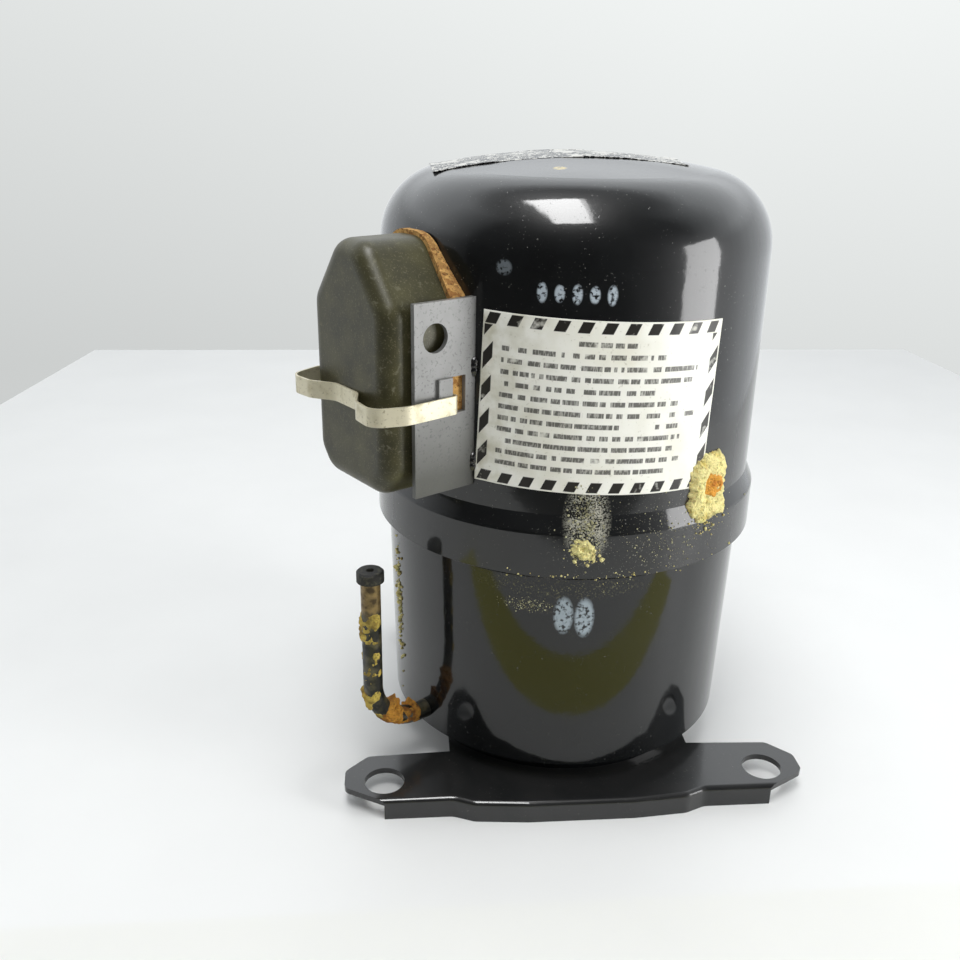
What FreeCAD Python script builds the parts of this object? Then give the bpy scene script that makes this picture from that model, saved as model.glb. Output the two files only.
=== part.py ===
"""Hermetic reciprocating compressor: welded steel shell, spring-hung pump and motor, terminal cover.

Millimetres. +Z is up. The origin is the centre of the four mounting holes on the ears' underside.
The crankshaft turns on the Z axis and the cylinder lies along +X. Pieces round the terminal are
made in a frame whose +X points out of the shell, and turned to the terminal's azimuth.
"""
import FreeCAD, Part
import math
import os
import re

import Sketcher
from FreeCAD import Placement, Rotation, Vector

SIZES = [
    # base plate
    ("hole_spacing_x", 190.5, "mounting holes, centre to centre along X"),
    ("rear_spacing_x", 139.7, "rear mounting holes, centre to centre along X"),
    ("hole_spacing_y", 165.1, "mounting holes, centre to centre along Y"),
    ("hole_radius", 9.8, "mounting hole"),
    ("plate_thick", 3.0, "base plate"),
    ("flange_drop", 8.0, "turned-down flange below the ears' underside"),
    ("ear_reach", 19.5, "ear edge beyond the hole's centre"),
    ("ear_chamfer", 11.0, "cut corner of an ear"),
    ("ear_front", 15.0, "front edge of an ear beyond the hole's centre"),
    ("plate_front", 104.0, "middle of the plate's front edge"),
    ("plate_bow", 2.2, "bow of the plate's front edge"),
    ("plate_belly", 52.0, "half length of the bowed front edge"),
    ("plate_neck", 62.0, "where a front ear's front edge begins"),
    ("rear_belly", 30.0, "half length of the bowed rear edge"),
    ("rear_neck", 40.0, "where a rear ear's rear edge begins"),
    ("plate_waist", 62.0, "half length of the plate under the shell"),
    ("belly_round", 100.0, "bend in the bowed edge"),
    ("neck_round", 9.0, "bends between belly and ear"),
    ("ear_round", 5.0, "rounding of an ear's corners"),
    ("flange_roll", 2.4, "rolled upper edge of the plate"),
    # shells
    ("shell_radius", 93.0, "outer radius of the upper shell"),
    ("shell_wall", 3.2, "steel of both shells"),
    ("shell_top", 294.0, "top of the crown"),
    ("crown_radius", 330.0, "sphere of the crown"),
    ("shoulder_radius", 34.0, "round shoulder of the upper shell"),
    ("lip_height", 119.0, "lower edge of the upper shell"),
    ("bead_top", 148.0, "where the bead runs into the upper shell"),
    ("bead_slope", 8.0, "height of the bead's upper slope"),
    ("bead_radius", 96.5, "outer radius of the bead"),
    ("lower_radius", 91.0, "lower shell under the lip"),
    ("foot_radius", 88.5, "lower shell at its foot"),
    ("foot_knuckle", 10.0, "rounded foot of the lower shell"),
    ("overlap_height", 20.0, "how far the lower shell goes up inside the bead"),
    ("weld_size", 3.4, "leg of the seam weld"),
    # terminal bracket and cover
    ("terminal_azimuth", 213.5, "direction in which the terminal faces, degrees from +X"),
    ("wing_half", 34.6, "outer face of a wing from the middle"),
    ("wing_thick", 2.4, "steel of the bracket"),
    ("wing_reach", 117.5, "outer edge of a wing from the crank axis"),
    ("wing_bottom", 157.5, "lower edge of a wing"),
    ("wing_top", 241.0, "upper edge of a wing"),
    ("wing_hole_out", 107.0, "round hole in a wing, from the crank axis"),
    ("wing_hole_height", 226.0, "round hole in a wing"),
    ("wing_hole_radius", 6.25, "round hole in a wing"),
    ("slot_inner", 91.4, "strap slot, inner end"),
    ("slot_outer", 98.6, "strap slot, outer end"),
    ("slot_bottom", 192.4, "strap slot"),
    ("slot_top", 208.4, "strap slot"),
    ("cover_half", 30.0, "half width of the terminal cover"),
    ("cover_back", 96.3, "open side of the cover"),
    ("cover_face", 128.5, "closed face of the cover"),
    ("cover_bottom", 155.6, "lower side of the cover"),
    ("cover_top", 263.0, "upper side of the cover"),
    ("cover_wall", 2.5, "moulded wall"),
    ("cover_cut_top_y", 20.0, "sloped upper corner, across"),
    ("cover_cut_top_z", 26.0, "sloped upper corner, up"),
    ("cover_cut_low_y", 9.0, "sloped lower corner, across"),
    ("cover_cut_low_z", 11.0, "sloped lower corner, up"),
    ("cover_round", 8.0, "rounding round the cover's face"),
    ("cover_corner", 12.5, "rounding of the cover's corners, seen from outside"),
    ("gasket_margin", 1.8, "cork standing out round the cover"),
    ("gasket_land", 6.0, "width of the cork ring inside the cover's edge"),
    ("gasket_gap", 0.3, "cork to cover"),
    ("terminal_height", 222.0, "centre of the terminal"),
    ("terminal_radius", 17.0, "steel cup of the terminal"),
    ("pin_circle", 8.5, "current pins from the terminal's centre"),
    ("pin_radius", 1.6, "current pin"),
    ("glass_radius", 3.4, "glass seal round a pin"),
    ("protector_height", 185.0, "centre of the overload protector"),
    ("protector_radius", 15.0, "overload protector"),
    ("strap_width", 8.0, "bail strap, up"),
    ("strap_thick", 0.9, "bail strap"),
    ("strap_gap", 0.3, "bail strap to what it lies on"),
    # label and nameplate
    ("label_width", 108.0, "warning label, round the shell"),
    ("label_tall", 76.0, "warning label"),
    ("label_height", 196.0, "centre of the warning label"),
    ("label_tilt", 2.4, "warning label, degrees out of level"),
    ("foil_thick", 0.25, "label and nameplate"),
    ("nameplate_x", 122.0, "nameplate on the crown, length"),
    ("nameplate_y", 52.0, "nameplate on the crown, depth"),
    ("nameplate_left", 14.0, "middle of the nameplate left of the crank axis"),
    ("nameplate_front", 25.0, "front edge of the nameplate before the crank axis"),
    # tubes and plugs
    ("discharge_radius", 4.76, "3/8 inch discharge tube"),
    ("discharge_out", 120.0, "upright run of the discharge tube, from the crank axis"),
    ("discharge_low", 22.0, "where the discharge tube leaves the shell"),
    ("discharge_top", 105.0, "open end of the discharge tube"),
    ("discharge_bend", 26.0, "bend of the discharge tube"),
    ("suction_radius", 6.35, "1/2 inch suction tube"),
    ("suction_azimuth", 62.0, "direction of the suction tube"),
    ("suction_height", 214.0, "suction tube"),
    ("suction_out", 124.0, "open end of the suction tube"),
    ("process_radius", 3.175, "1/4 inch process tube"),
    ("process_azimuth", 32.0, "direction of the process tube"),
    ("process_height", 64.0, "process tube"),
    ("process_out", 116.0, "open end of the process tube"),
    ("tube_wall", 0.8, "copper tube"),
    ("tube_inside", 4.0, "tube inside the shell's wall"),
    ("collar_out", 2.5, "brazed collar of a straight stub, outside the shell"),
    ("collar_step", 1.1, "collar beyond the tube's radius"),
    ("collar_cone", 3.0, "cone from the collar to the stub"),
    ("plug_head", 5.5, "height of a rubber plug's head"),
    ("plug_brim", 1.8, "head of a plug beyond the tube's radius"),
    ("plug_stem", 8.0, "stem of a plug inside its tube"),
    ("plug_gap", 0.05, "stem of a plug to its tube"),
    # motor
    ("stator_low", 62.0, "underside of the stator core"),
    ("stator_stack", 50.0, "height of the stator core"),
    ("stator_square", 136.0, "across the flats of the stator core"),
    ("stator_corner", 80.0, "radius that cuts the stator core's corners"),
    ("rotor_radius", 34.9, "rotor core"),
    ("air_gap", 0.4, "rotor to stator"),
    ("winding_inner", 38.0, "end winding"),
    ("winding_outer", 58.0, "end winding"),
    ("winding_tall", 22.0, "end winding"),
    ("bolt_place", 50.0, "stator bolts from the middle along X and Y"),
    ("bolt_radius", 3.5, "stator bolt"),
    ("bolt_gap", 0.1, "bolt to its hole"),
    ("end_ring", 6.0, "rotor's end ring, height"),
    ("spring_top", 50.0, "upper end of a suspension spring"),
    ("spring_mean", 7.5, "mean radius of a suspension spring"),
    ("spring_wire", 1.1, "radius of the spring wire"),
    ("spring_turns", 6.0, "turns of a suspension spring"),
    # pump
    ("shaft_radius", 11.0, "crankshaft's journal"),
    ("shaft_low", 36.0, "lower end of the crankshaft"),
    ("running_gap", 0.03, "radial clearance of a running fit"),
    ("crank_throw", 10.0, "crankpin from the crank axis"),
    ("crankpin_radius", 7.0, "crankpin"),
    ("web_low", 160.0, "underside of the crank web"),
    ("web_thick", 9.0, "crank web"),
    ("web_radius", 19.0, "crank web"),
    ("washer_thick", 1.5, "thrust washer"),
    ("hub_radius", 24.0, "main bearing's hub"),
    ("hub_low", 128.0, "lower end of the main bearing"),
    ("deck_radius", 72.0, "crankcase deck"),
    ("deck_thick", 10.5, "crankcase deck"),
    ("leg_radius", 11.0, "crankcase leg"),
    ("pump_height", 186.0, "axis of the cylinder"),
    ("bore_radius", 16.0, "cylinder bore"),
    ("block_near", 26.0, "inner end of the cylinder"),
    ("block_far", 60.0, "outer end of the cylinder"),
    ("block_half", 28.0, "half width of the cylinder block"),
    ("block_over", 26.0, "cylinder block above the cylinder's axis"),
    ("yoke_outer", 14.0, "cross yoke tube"),
    ("yoke_inner", 10.0, "cross yoke tube"),
    ("yoke_half", 25.0, "half length of the cross yoke tube"),
    ("slider_half", 13.0, "half length of the slider block"),
    ("top_clearance", 0.5, "piston crown to cylinder end at top dead centre"),
    ("gasket_sheet", 0.8, "valve and head gaskets"),
    ("reed_thick", 0.4, "valve reeds"),
    ("valve_plate_thick", 4.0, "valve plate"),
    ("port_y", 7.0, "valve ports from the middle, across"),
    ("port_z", 6.0, "valve ports below the cylinder's axis"),
    ("port_radius", 3.2, "valve port"),
    ("reed_half", 3.0, "half width of a reed's arm"),
    ("reed_pad", 4.6, "round end of a reed"),
    ("reed_root", 12.0, "root of a reed above the cylinder's axis"),
    ("reed_lift", 1.4, "discharge reed to its stop"),
    ("stop_thick", 1.2, "reed stop"),
    ("stop_foot", 3.0, "height of the reed stop's foot"),
    ("stop_gap", 0.4, "foot of the reed stop to the reed's root"),
    ("head_thick", 12.0, "cylinder head"),
    ("head_bolt_y", 22.0, "head bolts from the middle, across"),
    ("head_bolt_z", 20.0, "head bolts from the cylinder's axis, up"),
    ("head_bolt_radius", 3.0, "head bolt"),
    ("muffler_radius", 20.0, "discharge muffler"),
    ("muffler_place", 50.0, "discharge muffler from the crank axis"),
    ("line_radius", 3.0, "internal discharge line"),
]
ALIASES = {alias for alias, _, _ in SIZES}

doc = FreeCAD.newDocument("compressor")
dims = doc.addObject("Spreadsheet::Sheet", "dims")
for row, (alias, value, note) in enumerate(SIZES, 1):
    dims.set(f"A{row}", note)
    dims.set(f"B{row}", str(value))
    dims.setAlias(f"B{row}", alias)
doc.recompute()

PLACES = ("x", "y", "z")
nodes = {}


def bound(text):
    """The expression with each alias written as a cell of the sheet."""
    return re.sub(r"[a-z][a-z_]*", lambda w: f"dims.{w.group()}" if w.group() in ALIASES else w.group(), str(text))


def size(text):
    """The expression's value now."""
    return float(dims.evalExpression(bound(text)))


def node(thing, name):
    """Keep a finished sub-part under its own name."""
    thing.Label = name
    nodes[name] = thing
    return thing


def put(thing, x=0, y=0, z=0, azimuth=None):
    """Place a sub-part, bound to the sheet: a turn about Z, then a shift."""
    thing.Placement = Placement(Vector(size(x), size(y), size(z)), Rotation(Vector(0, 0, 1), 1.0 if azimuth else 0.0))
    for place, text in zip(PLACES, (x, y, z)):
        if text != 0:
            thing.setExpression(f".Placement.Base.{place}", bound(text))
    if azimuth:
        thing.setExpression(".Placement.Rotation.Angle", f"({bound(azimuth)}) * 1 deg")
    return thing


# ---------------------------------------------------------------- PartDesign helpers

def new_body(name):
    return doc.addObject("PartDesign::Body", f"{name}_body")


def sketch(body, plane, corners, arcs=None, offset=None):
    """A closed outline whose corners are pairs of expressions.

    arcs maps a side's number to its radius; a negative radius bulges to the side's right.
    """
    arcs = arcs or {}
    flat = body.newObject("Sketcher::SketchObject", "outline")
    flat.AttachmentSupport = [(next(f for f in body.Origin.OriginFeatures if f.Role == plane), "")]
    flat.MapMode = "FlatFace"
    if offset is not None:
        flat.setExpression(".AttachmentOffset.Base.z", bound(offset))
    points = [Vector(size(a), size(b), 0) for a, b in corners]
    count = len(points)
    for side, start in enumerate(points):
        end = points[(side + 1) % count]
        if side in arcs:
            radius = size(arcs[side])
            along = end - start
            across = Vector(along.y, -along.x, 0).normalize()
            rise = math.sqrt(radius ** 2 - (along.Length / 2) ** 2)
            centre = (start + end) * 0.5 - across * math.copysign(rise, -radius)
            bulge = centre + across * math.copysign(abs(radius), -radius)
            flat.addGeometry(Part.Arc(start, bulge, end), False)
        else:
            flat.addGeometry(Part.LineSegment(start, end), False)
    starts = []
    for side in range(count):
        kept = 1
        if side in arcs:
            ends = flat.getPoint(side, 1), flat.getPoint(side, 2)
            kept = 1 if (ends[0] - points[side]).Length < (ends[1] - points[side]).Length else 2
        starts.append(kept)
    for side in range(count):
        after = (side + 1) % count
        flat.addConstraint(Sketcher.Constraint("Coincident", side, 3 - starts[side], after, starts[after]))
    for side, corner in enumerate(corners):
        for kind, text, now in zip(("DistanceX", "DistanceY"), corner, points[side]):
            place = flat.addConstraint(Sketcher.Constraint(kind, side, starts[side], now))
            if not re.fullmatch(r"-?[\d.]+", str(text)):
                flat.setExpression(f"Constraints[{place}]", bound(text))
    for side, radius in arcs.items():
        place = flat.addConstraint(Sketcher.Constraint("Radius", side, abs(size(radius))))
        flat.setExpression(f"Constraints[{place}]", bound(f"abs({radius})"))
    doc.recompute()
    return flat


def turned(name, corners, arcs=None, axis="V_Axis"):
    """A body of revolution. Corners are (radius, z), or (x, radius) round the X axis."""
    body = new_body(name)
    flat = sketch(body, "XZ_Plane", corners, arcs)
    solid = body.newObject("PartDesign::Revolution", "turn")
    solid.Profile = flat
    solid.ReferenceAxis = (flat, [axis])
    solid.Angle = 360
    doc.recompute()
    return body


def ring(name, inner, outer, low, high, **more):
    """A plain ring or, with an inner radius of 0, a disc."""
    return turned(name, [(inner, low), (outer, low), (outer, high), (inner, high)], **more)


def rod(name, start, end, outer, inner="0"):
    """A round bar or tube along X."""
    return turned(name, [(start, inner), (end, inner), (end, outer), (start, outer)], axis="H_Axis")


def padded(name, plane, corners, start, length, arcs=None):
    """An outline on an origin plane, raised by start and thickened by length."""
    body = new_body(name)
    flat = sketch(body, plane, corners, arcs, offset=start)
    solid = body.newObject("PartDesign::Pad", "pad")
    solid.Profile = flat
    solid.setExpression("Length", bound(length))
    doc.recompute()
    return body


def rounded(body, radius, pick):
    """Round the edges of a body that pick() accepts."""
    tip = body.Tip
    edges = [f"Edge{place}" for place, edge in enumerate(tip.Shape.Edges, 1)
             if not edge.Degenerated and pick(edge)]
    soft = body.newObject("PartDesign::Fillet", "round")
    soft.Base = (tip, edges)
    soft.setExpression("Radius", bound(radius))
    doc.recompute()
    return body


def pocketed(body, plane, corners, start, length, toward):
    """Cut an outline out of a body. toward is 1 along the plane's normal and -1 against it."""
    before = body.Shape.Volume
    flat = sketch(body, plane, corners, offset=start)
    hollow = body.newObject("PartDesign::Pocket", "pocket")
    hollow.Profile = flat
    hollow.setExpression("Length", bound(length))
    hollow.Reversed = toward > 0
    doc.recompute()
    assert body.Shape.Volume < before * 0.9999, f"{body.Name}: a pocket cuts nothing"
    return body


# ---------------------------------------------------------------- Part helpers

def cylinder(radius, height, x=0, y=0, z=0, along="z"):
    """A plain cylinder from (x, y, z) along z, x or y."""
    bar = doc.addObject("Part::Cylinder", "bar")
    bar.setExpression("Radius", bound(radius))
    bar.setExpression("Height", bound(height))
    turns = {"z": Rotation(), "x": Rotation(Vector(0, 1, 0), 90), "y": Rotation(Vector(1, 0, 0), -90)}
    bar.Placement = Placement(Vector(size(x), size(y), size(z)), turns[along])
    for place, text in zip(PLACES, (x, y, z)):
        bar.setExpression(f".Placement.Base.{place}", bound(text))
    return bar


def box(x, y, z, length, width, height):
    """A plain box from its lowest corner."""
    brick = doc.addObject("Part::Box", "brick")
    for name, text in zip(("Length", "Width", "Height"), (length, width, height)):
        brick.setExpression(name, bound(text))
    for place, text in zip(PLACES, (x, y, z)):
        brick.setExpression(f".Placement.Base.{place}", bound(text))
    return brick


def fused(*pieces):
    whole = doc.addObject("Part::MultiFuse", "whole")
    whole.Shapes = list(pieces)
    return whole


def cut(base, *tools):
    rest = doc.addObject("Part::Cut", "rest")
    rest.Base = base
    rest.Tool = tools[0] if len(tools) == 1 else fused(*tools)
    return rest


def common(one, other):
    both = doc.addObject("Part::Common", "both")
    both.Base = one
    both.Tool = other
    return both


def group(*pieces):
    """Separate solids in one sub-part."""
    lot = doc.addObject("Part::Compound", "lot")
    lot.Links = list(pieces)
    return lot


def feature(shape):
    piece = doc.addObject("Part::Feature", "piece")
    piece.Shape = shape
    return piece


def route(points, bends):
    """Straight runs joined by tangent arcs. bends holds one radius for each inner point."""
    points = [Vector(*p) for p in points]
    edges = []
    last = points[0]
    for before, here, after, radius in zip(points, points[1:], points[2:], bends):
        back = (before - here).normalize()
        on = (after - here).normalize()
        half = back.getAngle(on) / 2
        reach = radius / math.tan(half)
        middle = here + (back + on).normalize() * (radius / math.sin(half) - radius)
        edges.append(Part.LineSegment(last, here + back * reach).toShape())
        edges.append(Part.Arc(here + back * reach, middle, here + on * reach).toShape())
        last = here + on * reach
    edges.append(Part.LineSegment(last, points[-1]).toShape())
    return Part.Wire(edges)


def bent_tube(points, bends, outer, inner=0):
    """A tube along a route, hollow if inner is given."""
    path = route(points, bends)
    start = path.Edges[0].valueAt(path.Edges[0].FirstParameter)
    along = path.Edges[0].tangentAt(path.Edges[0].FirstParameter)
    walls = []
    for radius in (outer, inner):
        if radius:
            hoop = Part.Wire(Part.makeCircle(radius, start, along))
            walls.append(path.makePipeShell([hoop], True, False))
    return walls[0].cut(walls[1]) if inner else walls[0]


# ---------------------------------------------------------------- shells and base

def upper_shell_outline():
    """Outline of the upper shell's wall, (radius, z), from the lip round the crown and back inside."""
    crown_z = "(shell_top - crown_radius)"
    knuckle_x = "(shell_radius - shoulder_radius)"
    spread = "(crown_radius - shoulder_radius)"
    knuckle_z = f"({crown_z} + sqrt({spread} ^ 2 - {knuckle_x} ^ 2))"
    touch_x = f"{knuckle_x} * crown_radius / {spread}"
    touch_z = f"{crown_z} + ({knuckle_z} - {crown_z}) * crown_radius / {spread}"
    inner_x = f"{knuckle_x} * (crown_radius - shell_wall) / {spread}"
    inner_z = f"{crown_z} + ({knuckle_z} - {crown_z}) * (crown_radius - shell_wall) / {spread}"
    return [
        ("bead_radius - shell_wall", "lip_height"), ("bead_radius", "lip_height"),
        ("bead_radius", "bead_top - bead_slope"), ("shell_radius", "bead_top"),
        ("shell_radius", knuckle_z), (touch_x, touch_z), ("0", "shell_top"),
        ("0", "shell_top - shell_wall"), (inner_x, inner_z), ("shell_radius - shell_wall", knuckle_z),
        ("shell_radius - shell_wall", "bead_top"), ("bead_radius - shell_wall", "bead_top - bead_slope"),
    ]


def make_upper_shell():
    arcs = {
        4: "-shoulder_radius", 5: "-crown_radius",
        7: "crown_radius - shell_wall", 8: "shoulder_radius - shell_wall",
    }
    body = turned("upper_shell", upper_shell_outline(), arcs)
    rounded(body, "shell_wall * 0.9", lambda edge: is_hoop(edge, "bead_radius", "bead_top - bead_slope"))
    terminal = cylinder("terminal_radius", "shell_wall * 8", z="terminal_height", along="x",
                        x="shell_radius - shell_wall * 5")
    suction = cylinder("suction_radius + collar_step", "shell_wall * 8", z="suction_height", along="x",
                       x="shell_radius - shell_wall * 5")
    holes = [put(group(terminal), azimuth="terminal_azimuth"), put(group(suction), azimuth="suction_azimuth")]
    node(cut(body, *holes), "upper_shell")


def is_hoop(edge, radius, height):
    """Whether an edge is the whole circle of that radius at that height."""
    curve = edge.Curve
    return (isinstance(curve, Part.Circle) and abs(curve.Radius - size(radius)) < 0.01
            and abs(curve.Center.z - size(height)) < 0.01)


def make_lower_shell():
    rim = "lip_height + overlap_height"
    outline = [
        ("0", "plate_thick"), ("foot_radius - foot_knuckle", "plate_thick"),
        ("foot_radius", "plate_thick + foot_knuckle"), ("lower_radius", "lip_height - weld_size"),
        ("bead_radius - shell_wall", "lip_height"), ("bead_radius - shell_wall", rim),
        ("bead_radius - shell_wall * 2", rim), ("bead_radius - shell_wall * 2", "lip_height"),
        ("lower_radius - shell_wall", "lip_height - weld_size"),
        ("foot_radius - shell_wall", "plate_thick + foot_knuckle"),
        ("foot_radius - foot_knuckle", "plate_thick + shell_wall"), ("0", "plate_thick + shell_wall"),
    ]
    body = turned("lower_shell", outline, {1: "foot_knuckle", 9: "-(foot_knuckle - shell_wall)"})
    discharge = cylinder("discharge_radius", "shell_wall * 8", z="discharge_low", along="x",
                         x="foot_radius - shell_wall * 5")
    process = cylinder("process_radius + collar_step", "shell_wall * 8", z="process_height", along="x",
                       x="foot_radius - shell_wall * 5")
    holes = [put(group(discharge), azimuth="terminal_azimuth"), put(group(process), azimuth="process_azimuth")]
    node(cut(body, *holes), "lower_shell")


def make_seam_weld():
    outline = [
        ("lower_radius + 0.1", "lip_height - weld_size"), ("bead_radius - shell_wall + 0.1", "lip_height"),
        ("bead_radius - 0.4", "lip_height"),
    ]
    node(put(turned("seam_weld", outline, {2: "weld_size * 2.2"})), "seam_weld")


def plate_edge(spacing, belly, neck):
    """Right half of the front or rear edge, from its middle to the ear's corner."""
    ear = "(hole_spacing_y / 2 + ear_front)"
    return [(f"{belly} / 2", "plate_front"), (belly, "plate_front - plate_bow"), (neck, ear), (f"{spacing} / 2", ear)]


def plate_side(spacing):
    """Right-hand edge of the front or rear half, from the ear's corner in to the shell."""
    far, ear = f"({spacing} / 2 + ear_reach)", "(hole_spacing_y / 2)"
    return [(far, f"{ear} + ear_front - ear_chamfer"), (far, f"{ear} - ear_reach + ear_chamfer"),
            (f"{far} - ear_chamfer", f"{ear} - ear_reach"), ("plate_waist", f"{ear} - ear_reach - 2")]


FRONT_PAIR = ("hole_spacing_x", "plate_belly", "plate_neck")
REAR_PAIR = ("rear_spacing_x", "rear_belly", "rear_neck")


def backwards(points):
    """The same points in reverse order, mirrored across the plate's length."""
    return [(x, f"-({y})") for x, y in reversed(points)]


def plate_outline():
    """The base plate seen from above: four ears on a middle that bellies out at front and rear."""
    rear = plate_edge(*REAR_PAIR) + plate_side(REAR_PAIR[0])
    front = plate_edge(*FRONT_PAIR) + plate_side(FRONT_PAIR[0])
    right = rear + backwards(front)
    return right + [(f"-({x})", y) for x, y in reversed(right)]


def flange(side, pair):
    """The turned-down strip along the front (-1) or rear (1) edge."""
    half = [(x, f"{side} * ({y})") for x, y in plate_edge(*pair)]
    inner = [(x, f"{side} * ({y} - plate_thick)") for x, y in plate_edge(*pair)]
    outline = [(f"-({x})", y) for x, y in reversed(half)] + half
    outline += list(reversed(inner)) + [(f"-({x})", y) for x, y in inner]
    return padded("flange", "XY_Plane", outline, "-flange_drop", "flange_drop + plate_thick / 2")


def softened(thing, radius, pick):
    """The same solid with the edges that pick() accepts rounded."""
    whole = thing.removeSplitter() if isinstance(thing, Part.Shape) else thing.Shape.removeSplitter()
    return whole.makeFillet(size(radius), [edge for edge in whole.Edges if pick(edge)])


def is_upright(edge, places):
    """True for an upright edge at one of the (|x|, |y|) places."""
    box = edge.BoundBox
    return box.XLength + box.YLength < 1e-6 and any(
        math.hypot(abs(box.XMin) - x, abs(box.YMin) - y) < 0.01 for x, y in places)


def make_base_plate():
    doc.recompute()
    plate = padded("base_plate", "XY_Plane", plate_outline(), "0", "plate_thick")
    whole = fused(plate, flange(-1, FRONT_PAIR), flange(1, REAR_PAIR))
    holes = [cylinder("hole_radius", "plate_thick", x=f"{x} * {pair[0]} / 2", y=f"{y} * hole_spacing_y / 2")
             for y, pair in ((-1, FRONT_PAIR), (1, REAR_PAIR)) for x in (-1, 1)]
    drilled = cut(whole, *holes)
    doc.recompute()
    bends = [[(size(x), size(y)) for x, y in plate_edge(*pair)] for pair in (FRONT_PAIR, REAR_PAIR)]
    corners = [(size(x), size(y)) for pair in (FRONT_PAIR, REAR_PAIR) for x, y in plate_side(pair[0])[:3]]
    bellied = softened(drilled, "belly_round", lambda edge: is_upright(edge, [bend[0] for bend in bends]))
    necked = softened(bellied, "neck_round", lambda edge: is_upright(edge, [place for bend in bends
                                                                           for place in bend[1:3]]))
    eared = softened(necked, "ear_round", lambda edge: is_upright(edge, corners))
    front = size("hole_spacing_y / 2 + ear_front") - 0.01
    rolled = softened(eared, "flange_roll", lambda edge: abs(edge.BoundBox.ZMin - size("plate_thick")) < 1e-6
                      and edge.BoundBox.ZLength < 1e-6
                      and min(abs(edge.BoundBox.YMin), abs(edge.BoundBox.YMax)) > front)
    node(put(feature(rolled)), "base_plate")


# ---------------------------------------------------------------- terminal bracket and cover

def make_terminal_bracket():
    """Two wings welded to the shell, each with a strap slot, a struck-out lug and a round hole."""
    tall = "wing_top - wing_bottom"
    start = "shell_radius - 12"
    wings = []
    for y in ("wing_half - wing_thick", "-wing_half"):
        wings.append(box(start, y, "wing_bottom", f"wing_reach - ({start})", "wing_thick", tall))
    lugs = [box("slot_outer + 0.6", y, "slot_top - 8", "7", "1.6", "8") for y in ("wing_half", "-wing_half - 1.6")]
    shell = cylinder("shell_radius", "wing_top * 2")
    slots = box("slot_inner", "-wing_half * 2", "slot_bottom", "slot_outer - slot_inner", "wing_half * 4",
                "slot_top - slot_bottom")
    hole = cylinder("wing_hole_radius", "wing_half * 4", x="wing_hole_out", y="-wing_half * 2",
                    z="wing_hole_height", along="y")
    bracket = cut(fused(*wings, *lugs), shell, slots, hole)
    node(put(group(bracket), azimuth="terminal_azimuth"), "terminal_bracket")


def cover_outline(grow):
    """The cover seen from outside, grown by an expression: an upright box with sloped corners."""
    half = f"(cover_half + {grow})"
    low, high = f"(cover_bottom - {grow})", f"(cover_top + {grow})"
    ease = f"({grow}) * 0.45"
    right = [
        (f"{half} - cover_cut_low_y - {ease}", low), (half, f"{low} + cover_cut_low_z + {ease}"),
        (half, f"{high} - cover_cut_top_z - {ease}"), (f"{half} - cover_cut_top_y - {ease}", high),
    ]
    return right + [(f"-({y})", z) for y, z in reversed(right)]


def cover_block(name, inset, back, face):
    """The cover's shape as a solid block between two X values, inset all round by an expression."""
    body = padded(name, "YZ_Plane", cover_outline(f"-({inset})"), back, f"{face} - ({back})")
    length = size(f"{face} - ({back})")
    rounded(body, f"cover_corner - ({inset})",
            lambda edge: abs(edge.BoundBox.XLength - length) < 0.01 and edge.BoundBox.YLength < 0.01)
    rounded(body, f"cover_round - ({inset})", lambda edge: edge.BoundBox.XMin > size(face) - 0.01)
    return body


def make_terminal_cover():
    outside = cover_block("terminal_cover", "0", "cover_back", "cover_face")
    cavity = cover_block("cover_cavity", "cover_wall", "cover_back - 2", "cover_face - cover_wall")
    node(put(group(cut(outside, cavity)), azimuth="terminal_azimuth"), "terminal_cover")


def make_cover_gasket():
    front = "cover_back - gasket_gap"
    start = "shell_radius - 14"
    body = padded("gasket", "YZ_Plane", cover_outline("gasket_margin"), start, f"{front} - ({start})")
    rounded(body, "cover_corner + gasket_margin", lambda edge: edge.BoundBox.YLength < 0.01 and edge.BoundBox.XLength > 1)
    pocketed(body, "YZ_Plane", cover_outline("-gasket_land"), start, f"{front} - ({start})", 1)
    tall = "shell_top * 2"
    node(put(group(cut(body, cylinder("shell_radius + 0.05", tall))), azimuth="terminal_azimuth"), "cover_gasket")


def pin_places():
    """The three pins' (y, z) as expressions, one up and two down."""
    return [
        ("0", "terminal_height + pin_circle"),
        ("pin_circle * 0.866", "terminal_height - pin_circle / 2"),
        ("-pin_circle * 0.866", "terminal_height - pin_circle / 2"),
    ]


def make_terminal():
    inner, outer = "shell_radius - 6", "shell_radius + 4"
    thick = f"{outer} - ({inner})"
    cup = cylinder("terminal_radius", thick, x=inner, z="terminal_height", along="x")
    seats = [cylinder("glass_radius", thick, x=inner, y=y, z=z, along="x") for y, z in pin_places()]
    node(put(group(cut(cup, *seats)), azimuth="terminal_azimuth"), "terminal_body")
    beads, pins, tabs = [], [], []
    for y, z in pin_places():
        bead = cylinder("glass_radius", thick, x=inner, y=y, z=z, along="x")
        beads.append(cut(bead, cylinder("pin_radius", thick, x=inner, y=y, z=z, along="x")))
        pins.append(cylinder("pin_radius", "30", x="shell_radius - 16", y=y, z=z, along="x"))
        tabs.append(box("shell_radius + 14.2", f"{y} - 0.4", f"{z} - 3.15", "8", "0.8", "6.3"))
    for name, lot in (("terminal_glass", beads), ("terminal_pins", pins), ("tab_blades", tabs)):
        node(put(group(*lot), azimuth="terminal_azimuth"), name)


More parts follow.
